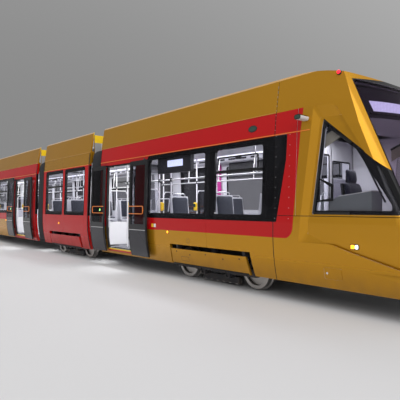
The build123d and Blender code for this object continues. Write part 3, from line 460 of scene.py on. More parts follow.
def door_finish():
    """Door leaves: black gloss round a dark pane, dark grey below it."""
    f, _ = glass("door_glass", (0.5, 0.5, 0.53), 0.06)
    pane = None
    for side, low, high, _ in leaf_places(CENTRE_DOOR, 0.002) + leaf_places(CAB_DOOR, 0.002):
        here = abs(f.x).between(low + 0.07, high - 0.07) * (f.y * side).above(0.5)
        pane = here if pane is None else pane.either(here)
    body = f.tree.nodes.new("ShaderNodeBsdfPrincipled")
    f.link(f.mixed(f.z.below(SILL), (0.010, 0.010, 0.012), (0.022, 0.022, 0.028)), body.inputs["Base Color"])
    f.link(f.noise(4.0, 2.0) * 0.1 + 0.08, body.inputs["Roughness"])
    f.shine(body, 0.2, 0.25)
    f.mix_surface(pane * f.z.between(1.025, 2.285), body.outputs[0])
    return f.material


def plain(name, colour, rough, metal=0.0, coat=0.0, grain=60, depth=0.0003, spread=0.06, worn=None):
    """Paint, moulding or metal with fine grain, slight colour variation and, if asked, dusty patches."""
    f = Finish(name, colour, rough, metal, coat)
    fine = f.noise(grain, 3.0)
    f.vary(fine, spread)
    broad = f.noise(3.0, 4.0)
    f.vary(broad, spread)
    if worn:
        f.over((broad - 0.45).positive() * 1.6, worn)
    f.rough = fine * 0.12 + (rough - 0.06)
    f.bump(fine, depth, 0.5)
    return f.done()


def woven(name, colour, other, pitch=0.012):
    """Woven cloth: warp and weft with a quiet fleck."""
    f = Finish(name, colour, 0.85)
    warp = f.wave(f.x + f.z * 0.3, pitch / 4)
    weft = f.wave(f.y + f.z * 0.7, pitch / 4)
    weave = warp * weft
    f.over(f.cells(1 / pitch).below(0.22), other)
    f.vary(weave, 0.18)
    f.vary(f.noise(7, 3.0), 0.12)
    f.bump(weave, 0.0008, 0.7)
    f.shader.inputs["Sheen Weight"].default_value = 0.25
    return f.done()


def speckled_floor():
    """Speckled covering above, and the dark paint of the frame below."""
    f = Finish("floor", (0.16, 0.16, 0.18), 0.5)
    below = f.nz.below(0.1)
    f.over(f.cells(300).below(0.12), (0.5, 0.5, 0.55))
    f.vary(f.noise(2.5, 4.0), 0.12)
    f.over(below, (0.045, 0.045, 0.05))
    f.rough = f.noise(12, 3.0) * 0.2 + 0.4
    f.bump(f.noise(350, 2.0), 0.0004, 0.4)
    return f.done()


def glowing(name, colour, strength, grid=0.0):
    """A lit lamp or display, with a faint grid of its lamps."""
    f = Finish(name, colour, 0.4)
    cells = f.noise(80, 1.0) if not grid else f.wave(f.x + f.y * 0.5, grid) * f.wave(f.z, grid)
    f.vary(cells, 0.25)
    f.tree.links.new(f.colour, f.shader.inputs["Emission Color"])
    f.shader.inputs["Emission Strength"].default_value = strength
    return f.done()


def brushed(name, colour, rough, stretch=(1, 30, 30)):
    """Bare metal with fine lines."""
    f = Finish(name, colour, rough, 1.0)
    lines = f.noise(40, 2.0, stretch)
    f.vary(lines, 0.1)
    f.vary(f.noise(3, 3.0), 0.08)
    f.rough = lines * 0.15 + (rough - 0.07)
    f.bump(lines, 0.0002, 0.4)
    return f.done()


def bellows_cloth():
    """Coated cloth with its weave on the bias."""
    f = Finish("bellows_cloth", (0.035, 0.035, 0.038), 0.85)
    weave = f.wave(f.y + f.z, 0.004) * f.wave(f.z - f.y, 0.004)
    f.vary(weave, 0.12)
    f.vary(f.noise(5, 4.0), 0.15)
    f.bump(weave, 0.0004, 0.5)
    f.shader.inputs["Sheen Weight"].default_value = 0.15
    return f.done()


MATERIALS = {
    "body": body_paint(),
    "roof": roof_paint(),
    "glass": window_glass(),
    "door": door_finish(),
    "floor": speckled_floor(),
    "bellows": bellows_cloth(),
    "black": plain("black_gloss", BLACK, 0.14, coat=0.5, depth=0.0001),
    "rubber": plain("rubber", (0.012, 0.012, 0.013), 0.6, grain=150, depth=0.0004, worn=(0.05, 0.05, 0.05)),
    "plastic": plain("dark_plastic", (0.03, 0.03, 0.034), 0.45, grain=400, depth=0.0004),
    "grey": plain("grey_plastic", (0.17, 0.18, 0.18), 0.5, grain=400, depth=0.0004),
    "pale": plain("pale_plastic", (0.55, 0.55, 0.53), 0.42, grain=400, depth=0.0003),
    "shell": plain("seat_shell", (0.74, 0.74, 0.77), 0.3, coat=0.3, grain=90),
    "lining": plain("lining", LINING, 0.45, grain=120),
    "white": plain("white_paint", (0.72, 0.72, 0.75), 0.3, grain=90),
    "frame": plain("bogie_steel", (0.045, 0.045, 0.05), 0.55, 0.2, grain=40, depth=0.0008, worn=RUST),
    "steel": brushed("wheel_steel", (0.42, 0.40, 0.38), 0.4, (30, 1, 30)),
    "alu": brushed("aluminium", (0.66, 0.66, 0.67), 0.35),
    "chrome": brushed("bright_metal", (0.8, 0.8, 0.82), 0.15),
    "pantograph": plain("pantograph_paint", (0.30, 0.03, 0.025), 0.4, grain=60, worn=(0.12, 0.05, 0.04)),
    "carbon": plain("carbon", (0.02, 0.02, 0.02), 0.5, grain=200),
    "insulator": plain("insulator", (0.22, 0.06, 0.035), 0.2, coat=0.8),
    "yellow": plain("yellow_panel", (0.80, 0.52, 0.02), 0.4, coat=0.3),
    # Gutter trim: a real drip rail, its gold made lighter and more yellow than the fairings as a painted
    # highlight along it
    "gold": plain("gold_trim_highlight", (0.66, 0.36, 0.06), 0.3, 0.6, coat=0.6),
    "orange": plain("orange_trim", (0.75, 0.20, 0.03), 0.35, coat=0.4),
    "red": plain("red_trim", (0.40, 0.01, 0.01), 0.3, coat=0.6),
    "magenta": plain("magenta_strip", (0.42, 0.03, 0.22), 0.4),
    "blind": plain("sun_blind", (0.30, 0.28, 0.22), 0.8, grain=300, depth=0.0006),
    "seat_cloth": woven("seat_cloth", (0.035, 0.04, 0.055), (0.10, 0.11, 0.14)),
    "driver_cloth": woven("driver_cloth", (0.028, 0.03, 0.05), (0.05, 0.055, 0.08), 0.02),
    "mirror": plain("lens_glass", (0.02, 0.05, 0.035), 0.05, coat=1.0, grain=20, depth=0.0),
    "led": glowing("ceiling_light", (0.93, 0.93, 1.0), 1.6),
    "display": glowing("display_light", (0.70, 0.76, 1.0), 1.1, 0.02),
    "lamp_white": glowing("white_lamp", (0.9, 0.9, 0.95), 1.6),
    "lamp_orange": glowing("orange_lamp", (1.0, 0.35, 0.02), 2.4),
    "lamp_red": glowing("red_lamp", (0.9, 0.02, 0.04), 1.6),
    "lamp_green": glowing("green_lamp", (0.25, 0.9, 0.1), 1.6),
}

NODE_FINISH = (
    ("glazing", "glass"), ("wheelset", "steel"), ("bogie", "frame"), ("bellows", "bellows"),
    ("underframe", "floor"), ("doors", "door"), ("side_walls", "body"), ("roof", "roof"), ("nose", "body"),
    ("partition", "lining"), ("cab_desk", "grey"), ("driver_seat", "driver_cloth"),
    ("seats_and_poles", "shell"), ("pantograph_base", "frame"), ("pantograph", "pantograph"),
)
for name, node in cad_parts.items():
    finish = next(key for part, key in NODE_FINISH if part in name)
    node.data.materials.clear()
    node.data.materials.append(MATERIALS[finish])


# Mesh building
OUT = (0, 1, 0)
UP = (0, 0, 1)
# Directions along and up a plate that faces outwards
FACING_OUT = ((-1, 0, 0), UP)
# Radius that closes a turned form to a point
TIP_RADIUS = 0.0002
STORE = {}


def headings(points, closed):
    """Direction of a line of points at each of them."""
    n = len(points)
    for i, p in enumerate(points):
        before = points[i - 1] if closed or i else p
        after = points[(i + 1) % n] if closed or i < n - 1 else p
        yield (after - before).normalized()


class Spot:
    """Builds pieces on one body, drawn for the front half and the +Y side and flipped to their places."""

    def __init__(self, body, end=1, side=1):
        self.body = body
        self.end = end
        self.side = side

    def put(self, material, verts, faces):
        store_verts, store_faces = STORE.setdefault((self.body, material), ([], []))
        base = len(store_verts)
        store_verts.extend((x * self.end, y * self.side, z + LIFT) for x, y, z in verts)
        flipped = self.end * self.side < 0
        for face in faces:
            face = [base + i for i in face]
            store_faces.append(face[::-1] if flipped else face)

    def loft(self, material, rings, closed=False):
        """Skin over rings of equal length, with capped ends, or with its end joined to its start."""
        n = len(rings[0])
        count = len(rings)
        faces = []
        for r in range(count if closed else count - 1):
            s = (r + 1) % count
            for i in range(n):
                j = (i + 1) % n
                faces.append((r * n + i, r * n + j, s * n + j, s * n + i))
        if not closed:
            faces.append(tuple(range(n))[::-1])
            faces.append(tuple(range((count - 1) * n, count * n)))
        self.put(material, [p for ring in rings for p in ring], faces)

    def box(self, material, x0, x1, y0, y1, z0, z1, edge=0.0):
        """Box, with its edges cut off at 45 degrees if asked."""
        if not edge:
            self.loft(material, [[(x0, y0, z), (x1, y0, z), (x1, y1, z), (x0, y1, z)] for z in (z0, z1)])
            return
        e = min(edge, (x1 - x0) / 2.1, (y1 - y0) / 2.1, (z1 - z0) / 2.1)
        rings = []
        for z, inset, cut in ((z0, e, 0), (z0 + e, 0, e), (z1 - e, 0, e), (z1, e, 0)):
            a, b, c, d = x0 + inset, x1 - inset, y0 + inset, y1 - inset
            corners = (
                (a + cut, c), (b - cut, c), (b, c + cut), (b, d - cut),
                (b - cut, d), (a + cut, d), (a, d - cut), (a, c + cut),
            )
            rings.append([(x, y, z) for x, y in corners])
        self.loft(material, rings)

    def tube(self, material, points, radius, sides=10, closed=False):
        """Round tube along points."""
        points = [Vector(p) for p in points]
        rings = []
        normal = None
        for p, along in zip(points, headings(points, closed)):
            normal = along.orthogonal() if normal is None else normal - along * normal.dot(along)
            normal.normalize()
            other = along.cross(normal)
            rings.append([tuple(p + normal * a + other * b) for a, b in circle(sides, radius)])
        self.loft(material, rings, closed)

    def band(self, material, points, out, width, depth, closed=True):
        """Flat strip along points, width wide and depth thick outwards, in one direction or one for each."""
        points = [Vector(p) for p in points]
        outs = out if isinstance(out, list) else [out] * len(points)
        shoulder = depth * 0.75
        section = ((-1, 0), (1, 0), (1, shoulder), (0.8, depth), (-0.8, depth), (-1, shoulder))
        rings = []
        for p, out, along in zip(points, outs, headings(points, closed)):
            out = Vector(out).normalized()
            across = out.cross(along).normalized() * (width / 2)
            rings.append([tuple(p + across * a + out * b) for a, b in section])
        self.loft(material, rings, closed)

    def wall_band(self, material, outline, width, depth, out=0.0, closed=True, step=0.12):
        """Strip that lies on the side wall along an outline in x and z."""
        path = []
        n = len(outline)
        for i in range(n if closed else n - 1):
            (xa, za), (xb, zb) = outline[i], outline[(i + 1) % n]
            count = max(1, int(hypot(xb - xa, zb - za) / step))
            path += [(xa + (xb - xa) * k / count, za + (zb - za) * k / count) for k in range(count)]
        if not closed:
            path.append(outline[-1])
        points = [(x, half_width(z) + out, z) for x, z in path]
        outs = [(0, 1, (half_width(z - 0.01) - half_width(z + 0.01)) / 0.02) for _, z in path]
        self.band(material, points, outs, width, depth, closed)

    def trim_line(self, material, x0, x1, z, width, depth, step=0.5):
        """Straight strip along the side wall."""
        self.wall_band(material, [(x0, z), (x1, z)], width, depth, closed=False, step=step)

    def wall_plate(self, material, x0, x1, z0, z1, out, depth, rows=None):
        """Plate on the side wall that follows its shape."""
        rows = rows or max(2, int((z1 - z0) / 0.08) + 2)
        rings = []
        for k in range(rows):
            z = z0 + (z1 - z0) * k / (rows - 1)
            y = half_width(z) + out
            rings.append([(x0, y, z), (x1, y, z), (x1, y + depth, z), (x0, y + depth, z)])
        self.loft(material, rings)

    def turned(self, material, profile, place, axis, sides=20):
        """Solid of revolution: profile is (radius, distance along the axis)."""
        axis = Vector(axis).normalized()
        first = axis.orthogonal().normalized()
        second = axis.cross(first)
        rings = []
        for r, h in profile:
            middle = Vector(place) + axis * h
            around = circle(sides, max(r, TIP_RADIUS))
            rings.append([tuple(middle + first * a + second * b) for a, b in around])
        self.loft(material, rings)

    def knob(self, material, place, axis, radius, side, top, high, sides):
        """Turned cap: the radius and height of its side, then the radius and height of its top."""
        self.turned(material, [(radius, 0), (radius, side), (top, high), (0, high)], place, axis, sides)

    def stud(self, material, place, axis, radius, high, sides=8):
        self.knob(material, place, axis, radius, high * 0.6, radius * 0.7, high, sides)

    def bolt(self, material, place, axis, radius, high, tip):
        """Six-sided head with a slight point."""
        self.turned(material, [(radius, 0), (radius, high), (0, tip)], place, axis, 6)

    def prism(self, material, outline, origin, u, v, depth):
        """Flat outline in directions u and v from origin, depth thick."""
        u, v, origin = Vector(u), Vector(v), Vector(origin)
        w = u.cross(v).normalized() * depth
        self.loft(material, [[tuple(origin + u * a + v * b + w * k) for a, b in outline] for k in (0, 1)])


def rounded(x0, x1, z0, z1, radius, steps=5):
    """Rectangle outline with round corners."""
    a, b, c, d = x0 + radius, x1 - radius, z0 + radius, z1 - radius
    points = []
    for x, z, start in ((b, d, 0), (a, d, 90), (a, c, 180), (b, c, 270)):
        for k in range(steps + 1):
            turn = radians(start + 90 * k / steps)
            points.append((x + radius * cos(turn), z + radius * sin(turn)))
    return points


def smooth_path(points, steps=6):
    """Points of one smooth curve through the given ones."""
    points = [Vector(p) for p in points]
    ends = [points[0] * 2 - points[1], *points, points[-1] * 2 - points[-2]]
    path = []
    for a, b, c, d in zip(ends, ends[1:], ends[2:], ends[3:]):
        for k in range(steps):
            t = k / steps
            bend = (a * 2 - b * 5 + c * 4 - d) * t**2 + (b * 3 - a - c * 3 + d) * t**3
            path.append((b * 2 + (c - a) * t + bend) * 0.5)
    return path + [points[-1]]


def smooth(mesh, degrees):
    """Outward normals, and smooth shading with edges sharper than the angle kept."""
    bm = bmesh.new()
    bm.from_mesh(mesh)
    bmesh.ops.recalc_face_normals(bm, faces=bm.faces)
    bm.to_mesh(mesh)
    bm.free()
    mesh.shade_smooth()
    mesh.set_sharp_from_angle(angle=radians(degrees))


def make_mesh(name, verts, faces, material, degrees):
    mesh = bpy.data.meshes.new(name)
    mesh.from_pydata(verts, [], faces)
    mesh.update()
    mesh.materials.append(MATERIALS[material])
    smooth(mesh, degrees)
    return mesh


def add_object(name, data):
    obj = bpy.data.objects.new(name, data)
    bpy.context.scene.collection.objects.link(obj)
    return obj


# Each end of the tram by its sign along x, and the spots on both sides of each module
WORDS = {1: "front", -1: "rear"}
CAB_SPOTS = [Spot(f"{WORDS[e]}_cab_module", e, s) for e in (1, -1) for s in (-1, 1)]
BOGIE_SPOTS = [Spot(f"{WORDS[e]}_bogie_module", e, s) for e in (1, -1) for s in (-1, 1)]
CENTRE_SPOTS = [Spot("centre_module", e, s) for e in (1, -1) for s in (-1, 1)]


# Doors
def door_leaf_trim(spot, low, high, closes_low, out):
    """Handle, button, seals and edges of one door leaf, which closes at its low or its high end."""
    def at(z):
        return half_width(z) + out

    # Rubber finger guards down both edges
    for x in (low, high):
        spot.wall_plate("rubber", x - 0.012, x + 0.012, 0.345, 2.375, out - 0.034, 0.035, 17)
    # Handle outline, open towards the closing edge
    near, far, step = (low + 0.004, high - 0.10, -0.03) if closes_low else (high - 0.004, low + 0.10, 0.03)
    z0, z1, drop = 1.245, 1.405, 0.03
    path = [
        (near, z1), (far + step, z1), (far + step * 0.3, z1 - drop * 0.3), (far, z1 - drop),
        (far, z0 + drop), (far + step * 0.3, z0 + drop * 0.3), (far + step, z0), (near, z0),
    ]
    spot.tube("orange", [(x, at(z) + 0.006, z) for x, z in path], 0.009, 8)
    for x, z in ((near, z1), (near, z0), (far, z0 + 0.07)):
        spot.turned("orange", [(0.012, -0.012), (0.012, 0), (0.009, 0.004)], (x, at(z), z), OUT, 10)
    # Push button in a ring
    if not closes_low:
        place = (near - 0.165, at(1.325), 1.325)
        ring = [(0.034, -0.002), (0.034, 0.004), (0.028, 0.006), (0.026, 0.002)]
        spot.turned("chrome", ring, place, OUT, 24)
        spot.knob("lamp_green", place, OUT, 0.025, 0.005, 0.018, 0.007, 24)
    # Bright line between the glass and the lower panel
    y = at(SILL)
    spot.box("alu", low + 0.014, high - 0.014, y - 0.004, y + 0.003, SILL - 0.007, SILL + 0.007)


def doorway_trim(spot, middle):
    """Rubber frame, threshold, red sill and header of one doorway."""
    low, high = middle - DOORWAY / 2, middle + DOORWAY / 2
    for a, b in ((low, low + 0.022), (high - 0.022, high)):
        spot.wall_plate("rubber", a, b, 0.335, 2.385, -0.058, 0.052, 19)
    spot.box("rubber", low, high, 1.09, 1.148, 2.362, 2.388, 0.004)
    spot.box("alu", low + 0.024, high - 0.024, 0.93, 1.118, FLOOR, FLOOR + 0.0035, 0.001)
    for k in range(9):
        y = 0.945 + 0.019 * k
        spot.box("rubber", low + 0.04, high - 0.04, y, y + 0.006, FLOOR + 0.0035, FLOOR + 0.0055)
    spot.box("red", low, high, 1.09, 1.121, 0.333, 0.372, 0.004)
    spot.box("yellow", low + 0.024, high - 0.024, 1.108, 1.126, 0.374, 0.399, 0.003)


for spots, middle in ((CAB_SPOTS, CAB_DOOR), (CENTRE_SPOTS, CENTRE_DOOR)):
    for spot in spots:
        doorway_trim(spot, middle)
        for side, low, high, closes_low in leaf_places(middle, 0.014):
            if side == spot.side:
                door_leaf_trim(spot, low, high, closes_low, LEAF_OUT if side < 0 else 0.0)


# Side walls
def hopper(spot, low, high, bar=1.985):
    """Transom bar and the tilting pane over it, with its catch, on the outside of a window."""
    spot.wall_plate("black", low - 0.004, high + 0.004, bar - 0.022, bar + 0.022, -0.006, 0.012)
    outline = rounded(low + 0.09, high - 0.09, bar + 0.02, 2.235, 0.03)
    spot.wall_band("black", outline, 0.026, 0.012, -0.006)
    x, y = (low + high) / 2, half_width(2.22)
    spot.box("plastic", x - 0.06, x + 0.06, y - 0.05, y - 0.012, 2.19, 2.232, 0.006)


def side_lamp(spot, x, z, radius=0.028):
    """Small round marker lamp with a dark bezel."""
    place = (x, half_width(z), z)
    bezel = [(radius + 0.008, -0.004), (radius + 0.008, 0.004), (radius + 0.002, 0.007)]
    spot.turned("plastic", bezel, place, OUT)
    lens = [(radius, 0), (radius, 0.006), (radius * 0.8, 0.011), (radius * 0.4, 0.014), (0, 0.015)]
    spot.turned("lamp_orange", lens, place, OUT)


def round_cover(spot, x, z, radius):
    """Round cover flush with the wall, shown by its joint."""
    points = [(x + a, half_width(z + b) - 0.001, z + b) for a, b in circle(24, radius)]
    spot.band("plastic", points, OUT, 0.006, 0.002)


def cover_trim(spot, middle):
    """Screws and service flap of a bogie cover, and its lower rubber lip."""
    for dx, z in ((-0.85, 0.53), (-0.45, 0.49), (0.0, 0.53), (0.45, 0.49), (0.85, 0.53)):
        spot.stud("plastic", (middle + dx, half_width(z), z), (0, 1, -0.05), 0.013, 0.004, 12)
    outline = rounded(middle - 0.72, middle - 0.5, 0.36, 0.44, 0.012, 3)
    spot.wall_band("plastic", outline, 0.005, 0.0015, -0.0005)
    lip = [(middle - 1.0, 0.292), (middle + 1.03, 0.292)]
    spot.wall_band("rubber", lip, 0.024, 0.006, -0.001, closed=False)


def end_frame(spot, x):
    """Dark rubber frame round the end of a module's wall."""
    heights = [0.30 + 2.5 * k / 20 for k in range(21)]
    spot.band("rubber", [(x, half_width(z), z) for z in heights], (0, 1, 0.02), 0.036, 0.008, closed=False)


def cab_wall(spot):
    """Trim, lamps, rivets and camera on one side of a cab module."""
    hopper(spot, 12.96, 14.07)
    # Strip along the top of the glass band, and the gutter at the cantrail in a lighter gold, which is a
    # painted highlight along the drip rail
    spot.trim_line("orange", CAB_START + 0.02, SEAM - 0.004, TRIM_HEIGHT, 0.014, 0.006)
    spot.trim_line("orange", SEAM + 0.004, SEAM + 0.63, TRIM_HEIGHT, 0.014, 0.006, 0.3)
    spot.trim_line("gold", CAB_START + 0.01, SEAM - 0.004, GUTTER, 0.012, 0.007)
    side_lamp(spot, 11.613, 0.895)
    round_cover(spot, 12.25, 0.751, 0.045)
    cover_trim(spot, CAB_BOGIE)
    # Two small reflectors
    for material, x in (("yellow", 11.05), ("white", 11.135)):
        spot.wall_plate(material, x, x + 0.065, 0.975, 1.045, 0.0, 0.005)
    # Oval lamp in the cantrail
    x, z = 13.842, 2.642
    ring = [(x + 0.085 * a, z + 0.046 * b) for a, b in circle(28)]
    spot.wall_band("plastic", ring, 0.016, 0.010, -0.002, step=1)
    lens = [(0.078 * a, 0.04 * b) for a, b in circle(28)]
    spot.prism("mirror", lens, (x, half_width(z) + 0.001, z), (-1, 0, 0), (0, -0.1, 1), 0.006)
    # Rivets beside the seam and beside the front edge of the red area
    for z in [1.22 + 0.155 * k for k in range(9)]:
        for x in (SEAM + 0.035, 14.60):
            spot.stud("alu", (x, half_width(z), z), (0, 1, 0.03), 0.005, 0.002)
    # Door camera beside the doorway
    place = (10.72, half_width(2.39), 2.40)
    spot.turned("plastic", [(0.038, -0.01), (0.038, 0.012), (0.03, 0.016)], place, OUT, 24)
    spot.turned("mirror", [(0.026, 0), (0.026, 0.014), (0.018, 0.021), (0, 0.022)], place, OUT, 24)
    # Lock of the service flap
    lock = [(0.016, -0.002), (0.016, 0.004), (0.011, 0.006), (0, 0.006)]
    spot.turned("chrome", lock, (SEAM + 0.915, half_width(0.49), 0.49), (0, 1, -0.1), 18)
    end_frame(spot, CAB_START + FRAME_INSET)


def bogie_wall(spot):
    """Frames, trim and lamp on one side of a bogie module."""
    for x in (BOGIE_START + FRAME_INSET, BOGIE_END - FRAME_INSET):
        end_frame(spot, x)
    cover_trim(spot, BOGIE_MID)
    side_lamp(spot, 6.226, 0.921)
    spot.trim_line("orange", BOGIE_START + 0.02, BOGIE_END - 0.02, 2.5, 0.014, 0.005)
    # Gutter at the cantrail in the lighter gold, a painted highlight along the drip rail
    spot.trim_line("gold", BOGIE_START + 0.02, BOGIE_END - 0.02, GUTTER, 0.012, 0.006)
    hopper(spot, 5.2, 6.38)


def centre_wall(spot):
    """Frame, trim and lamp on one quarter of the centre module."""
    end_frame(spot, CENTRE_END - FRAME_INSET)
    spot.trim_line("orange", 0.003, CENTRE_END - 0.02, TRIM_HEIGHT, 0.014, 0.006)
    # Gutter at the cantrail in the lighter gold, a painted highlight along the drip rail
    spot.trim_line("gold", 0.003, CENTRE_END - 0.01, GUTTER, 0.012, 0.007)
    side_lamp(spot, 1.2, 0.895)
    hopper(spot, 0.12, 1.98)


for spots, wall in ((CAB_SPOTS, cab_wall), (BOGIE_SPOTS, bogie_wall), (CENTRE_SPOTS, centre_wall)):
    for spot in spots:
        wall(spot)


# Bellows
def bellows_outline(inset, top=2.95, low=0.345, bend=2.62, radius=0.22):
    """Section of a gangway from the foot of one side over the top to the other, at an inset from the body."""
    right = [(half_width(z) - inset, z) for z in [low + (bend - low) * k / 16 for k in range(17)]]
    across = half_width(bend) - inset - radius
    for k in range(1, 7):
        turn = radians(90 * k / 6)
        right.append((across + radius * cos(turn), top - inset - radius + radius * sin(turn)))
    flat = [(across - 2 * across * k / 8, top - inset) for k in range(1, 8)]
    return right + flat + [(-y, z) for y, z in reversed(right)]


def bellows(name, x0, x1, node, folds=13, steps=6):
    """Folded cloth tunnel between two modules."""
    count = folds * steps
    places = []
    for k in range(count + 1):
        swell = abs(sin(pi * (k % steps) / steps)) ** 0.6
        places.append((x0 + (x1 - x0) * k / count, 0.128 - 0.052 * swell))
    # The lining inside runs back to the start
    places += [(x1, 0.150), (x0, 0.150)]
    rings = [[(x, y, z + LIFT) for y, z in bellows_outline(inset)] for x, inset in places]
    n = len(rings[0])
    faces = []
    for r in range(len(rings)):
        s = (r + 1) % len(rings)
        faces += [(r * n + i, r * n + i + 1, s * n + i + 1, s * n + i) for i in range(n - 1)]
    # The feet of its two sides
    faces.append([r * n for r in range(len(rings))][::-1])
    faces.append([r * n + n - 1 for r in range(len(rings))])
    obj = add_object(name, make_mesh(name, [p for ring in rings for p in ring], faces, "bellows", 50))
    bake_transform(obj)
    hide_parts(node)


for end, word in WORDS.items():
    for which, body_a, body_b, x0, x1 in (
        ("inner", "centre_module", f"{word}_bogie_module", CENTRE_END + 0.002, BOGIE_START - 0.002),
        ("outer", f"{word}_bogie_module", f"{word}_cab_module", BOGIE_END + 0.002, CAB_START - 0.002),
    ):
        bellows(f"{word}_{which}_gangway", end * x0, end * x1, f"{word}_{which}_bellows")


# Nose and cab
def front_x(y, z, inset=0.0):
    """Place of the nose's front surface at a height and a distance from the middle."""
    if z > SHOULDER:
        front = SEAM + SCREEN_FOOT - SCREEN_LEAN * (z - SHOULDER)
    else:
        front = TIP - CHIN_DEPTH * max(z - CHIN_TOP, 0) / (SHOULDER - CHIN_TOP)
    return front - inset - SCREEN_BOW + sqrt(SCREEN_BOW**2 - y * y)


def front_strip(spot, material, half, z0, z1, inset, depth, columns=16):
    """Plate that follows the windscreen, across the whole width."""
    rings = []
    for k in range(columns + 1):
        y = -half + 2 * half * k / columns
        corners = ((z0, inset + depth), (z0, inset), (z1, inset), (z1, inset + depth))
        rings.append([(front_x(y, z, back), y, z) for z, back in corners])
    spot.loft(material, rings)


def side_polygon(spot, material, outline, inset, depth):
    """Flat polygon in x and z hung just inside the side of the cab."""
    backs = (inset, inset + depth)
    spot.loft(material, [[(x, half_width(z) - back, z) for x, z in outline] for back in backs])


def windscreen(spot):
    """Header behind the windscreen with the blank display, and the wipers parked at its foot."""
    front_strip(spot, "plastic", 0.955, 2.56, 3.0, 0.06, 0.02)
    front_strip(spot, "display", 0.86, 2.65, 2.80, 0.052, 0.006)
    front_strip(spot, "black", 0.93, 2.60, 2.625, 0.05, 0.01)
    for side in (-1, 1):
        foot = side * 0.52
        arm = [(foot - side * 0.62 * k / 8, 1.235 + 0.22 * k / 8) for k in range(9)]
        spot.tube("plastic", [(front_x(y, z, -0.022), y, z) for y, z in arm], 0.011, 8)
        blade = [(foot - side * (0.12 + 0.82 * k / 12), 1.32 + 0.19 * k / 12) for k in range(13)]
        spot.tube("rubber", [(front_x(y, z, -0.010), y, z) for y, z in blade], 0.009, 6)
        pivot = [(0.032, -0.02), (0.032, 0.018), (0.022, 0.03), (0, 0.032)]
        spot.turned("plastic", pivot, (front_x(foot, 1.235, 0.005), foot, 1.235), (1, 0, 0.35), 18)


def desk(spot):
    """Monitors, lever and buttons on the desk."""
    x, leaning = 15.94, (0.34, 0, 0.94)
    for y, half in ((-0.42, 0.17), (0.02, 0.2), (0.46, 0.17)):
        spot.prism("plastic", rounded(-half, half, 0, 0.22, 0.015, 3), (x, y, 1.325), OUT, leaning, 0.035)
        screen = rounded(-half + 0.02, half - 0.02, 0.02, 0.2, 0.01, 3)
        spot.prism("mirror", screen, (x - 0.002, y, 1.325), (0, -1, 0), leaning, 0.004)
        spot.box("plastic", x + 0.01, x + 0.06, y - 0.04, y + 0.04, 1.31, 1.36, 0.008)
    spot.tube("plastic", [(15.78, -0.22, 1.28), (15.77, -0.22, 1.37), (15.76, -0.22, 1.41)], 0.013, 10)
    grip = [(0.0, -0.03), (0.022, -0.022), (0.028, 0), (0.022, 0.022), (0, 0.03)]
    spot.turned("plastic", grip, (15.76, -0.22, 1.43), OUT, 16)
    colours = ("lamp_green", "pale", "lamp_orange", "pale", "lamp_red", "pale", "pale")
    for row in range(3):
        for column in range(7):
            place = (15.78 + 0.05 * row, 0.14 + 0.075 * column, 1.309 + 0.018 * row)
            spot.knob(colours[(column + 2 * row) % 7], place, (-0.05, 0, 1), 0.012, 0.006, 0.009, 0.009, 10)


def partition(spot):
    """Panes, frames and handle of the partition, and what hangs on its cab side."""
    panes = ((-0.325, 0.325, 1.105, 2.295), (-0.995, -0.435, 1.305, 2.195), (0.435, 0.995, 1.305, 2.195))
    for y0, y1, z0, z1 in panes:
        spot.box("glass", 14.265, 14.273, y0, y1, z0, z1)
        outline = rounded(y0, y1, z0, z1, 0.03, 4)
        spot.band("rubber", [(14.290, y, z) for y, z in outline], (1, 0, 0), 0.03, 0.008)
    spot.tube("chrome", [(14.292, 0.27, 1.02), (14.34, 0.27, 1.02), (14.34, 0.15, 1.02)], 0.01, 10)
    spot.box("plastic", 14.29, 14.298, 0.22, 0.32, 0.95, 1.09, 0.003)
    for y in (-0.385, 0.385):
        spot.box("alu", 14.29, 14.296, y - 0.012, y + 0.012, 0.56, 2.45)
    # Switch cabinet and fire extinguisher behind the driver
    spot.box("white", 14.30, 14.385, 0.46, 0.98, 0.56, 1.24, 0.012)
    for row in range(4):
        for column in range(3):
            y, z = 0.54 + 0.13 * column, 0.66 + 0.13 * row
            spot.box("plastic", 14.385, 14.391, y, y + 0.06, z, z + 0.05, 0.002)
    bottle = [
        (0, 0), (0.07, 0.01), (0.075, 0.05), (0.075, 0.38),
        (0.045, 0.43), (0.02, 0.45), (0.02, 0.48), (0, 0.48),
    ]
    spot.turned("red", bottle, (14.40, -0.62, 0.57), UP)


def cab_ceiling(spot):
    """Panel over the driver with its lamps."""
    spot.box("lining", SEAM + 0.02, SEAM + 0.8, -0.93, 0.93, 2.56, 2.585, 0.006)
    for y in (-0.45, 0.45):
        spot.knob("led", (SEAM + 0.45, y, 2.56), UP, 0.07, -0.006, 0.06, -0.01, 20)


def side_window(spot):
    """Blind, its rod, the small opening pane's frame and the rubber edge of the cab's side window."""
    side_polygon(spot, "blind", [(15.045, 2.17), (15.39, 2.35), (15.27, 2.47), (15.045, 2.37)], 0.105, 0.006)
    side_polygon(spot, "black", [(15.04, 2.355), (15.28, 2.462), (15.26, 2.492), (15.03, 2.39)], 0.095, 0.018)
    frame_line = [(15.06, 1.47), (15.27, 1.49), (15.27, 1.68), (15.06, 1.785)]
    spot.band("black", [(x, half_width(z) - 0.078, z) for x, z in frame_line], OUT, 0.055, 0.012)
    edge = [(15.56, 1.309), (14.999, 1.309), (15.148, 2.55), (15.56, 2.222)]
    spot.band("black", [(x, half_width(z) - 0.052, z) for x, z in edge], OUT, 0.046, 0.006, closed=False)
    # Grab bar beside the driver's window
    spot.tube("plastic", [(15.98, 1.04, 1.45), (15.62, 1.03, 2.15)], 0.013, 8)


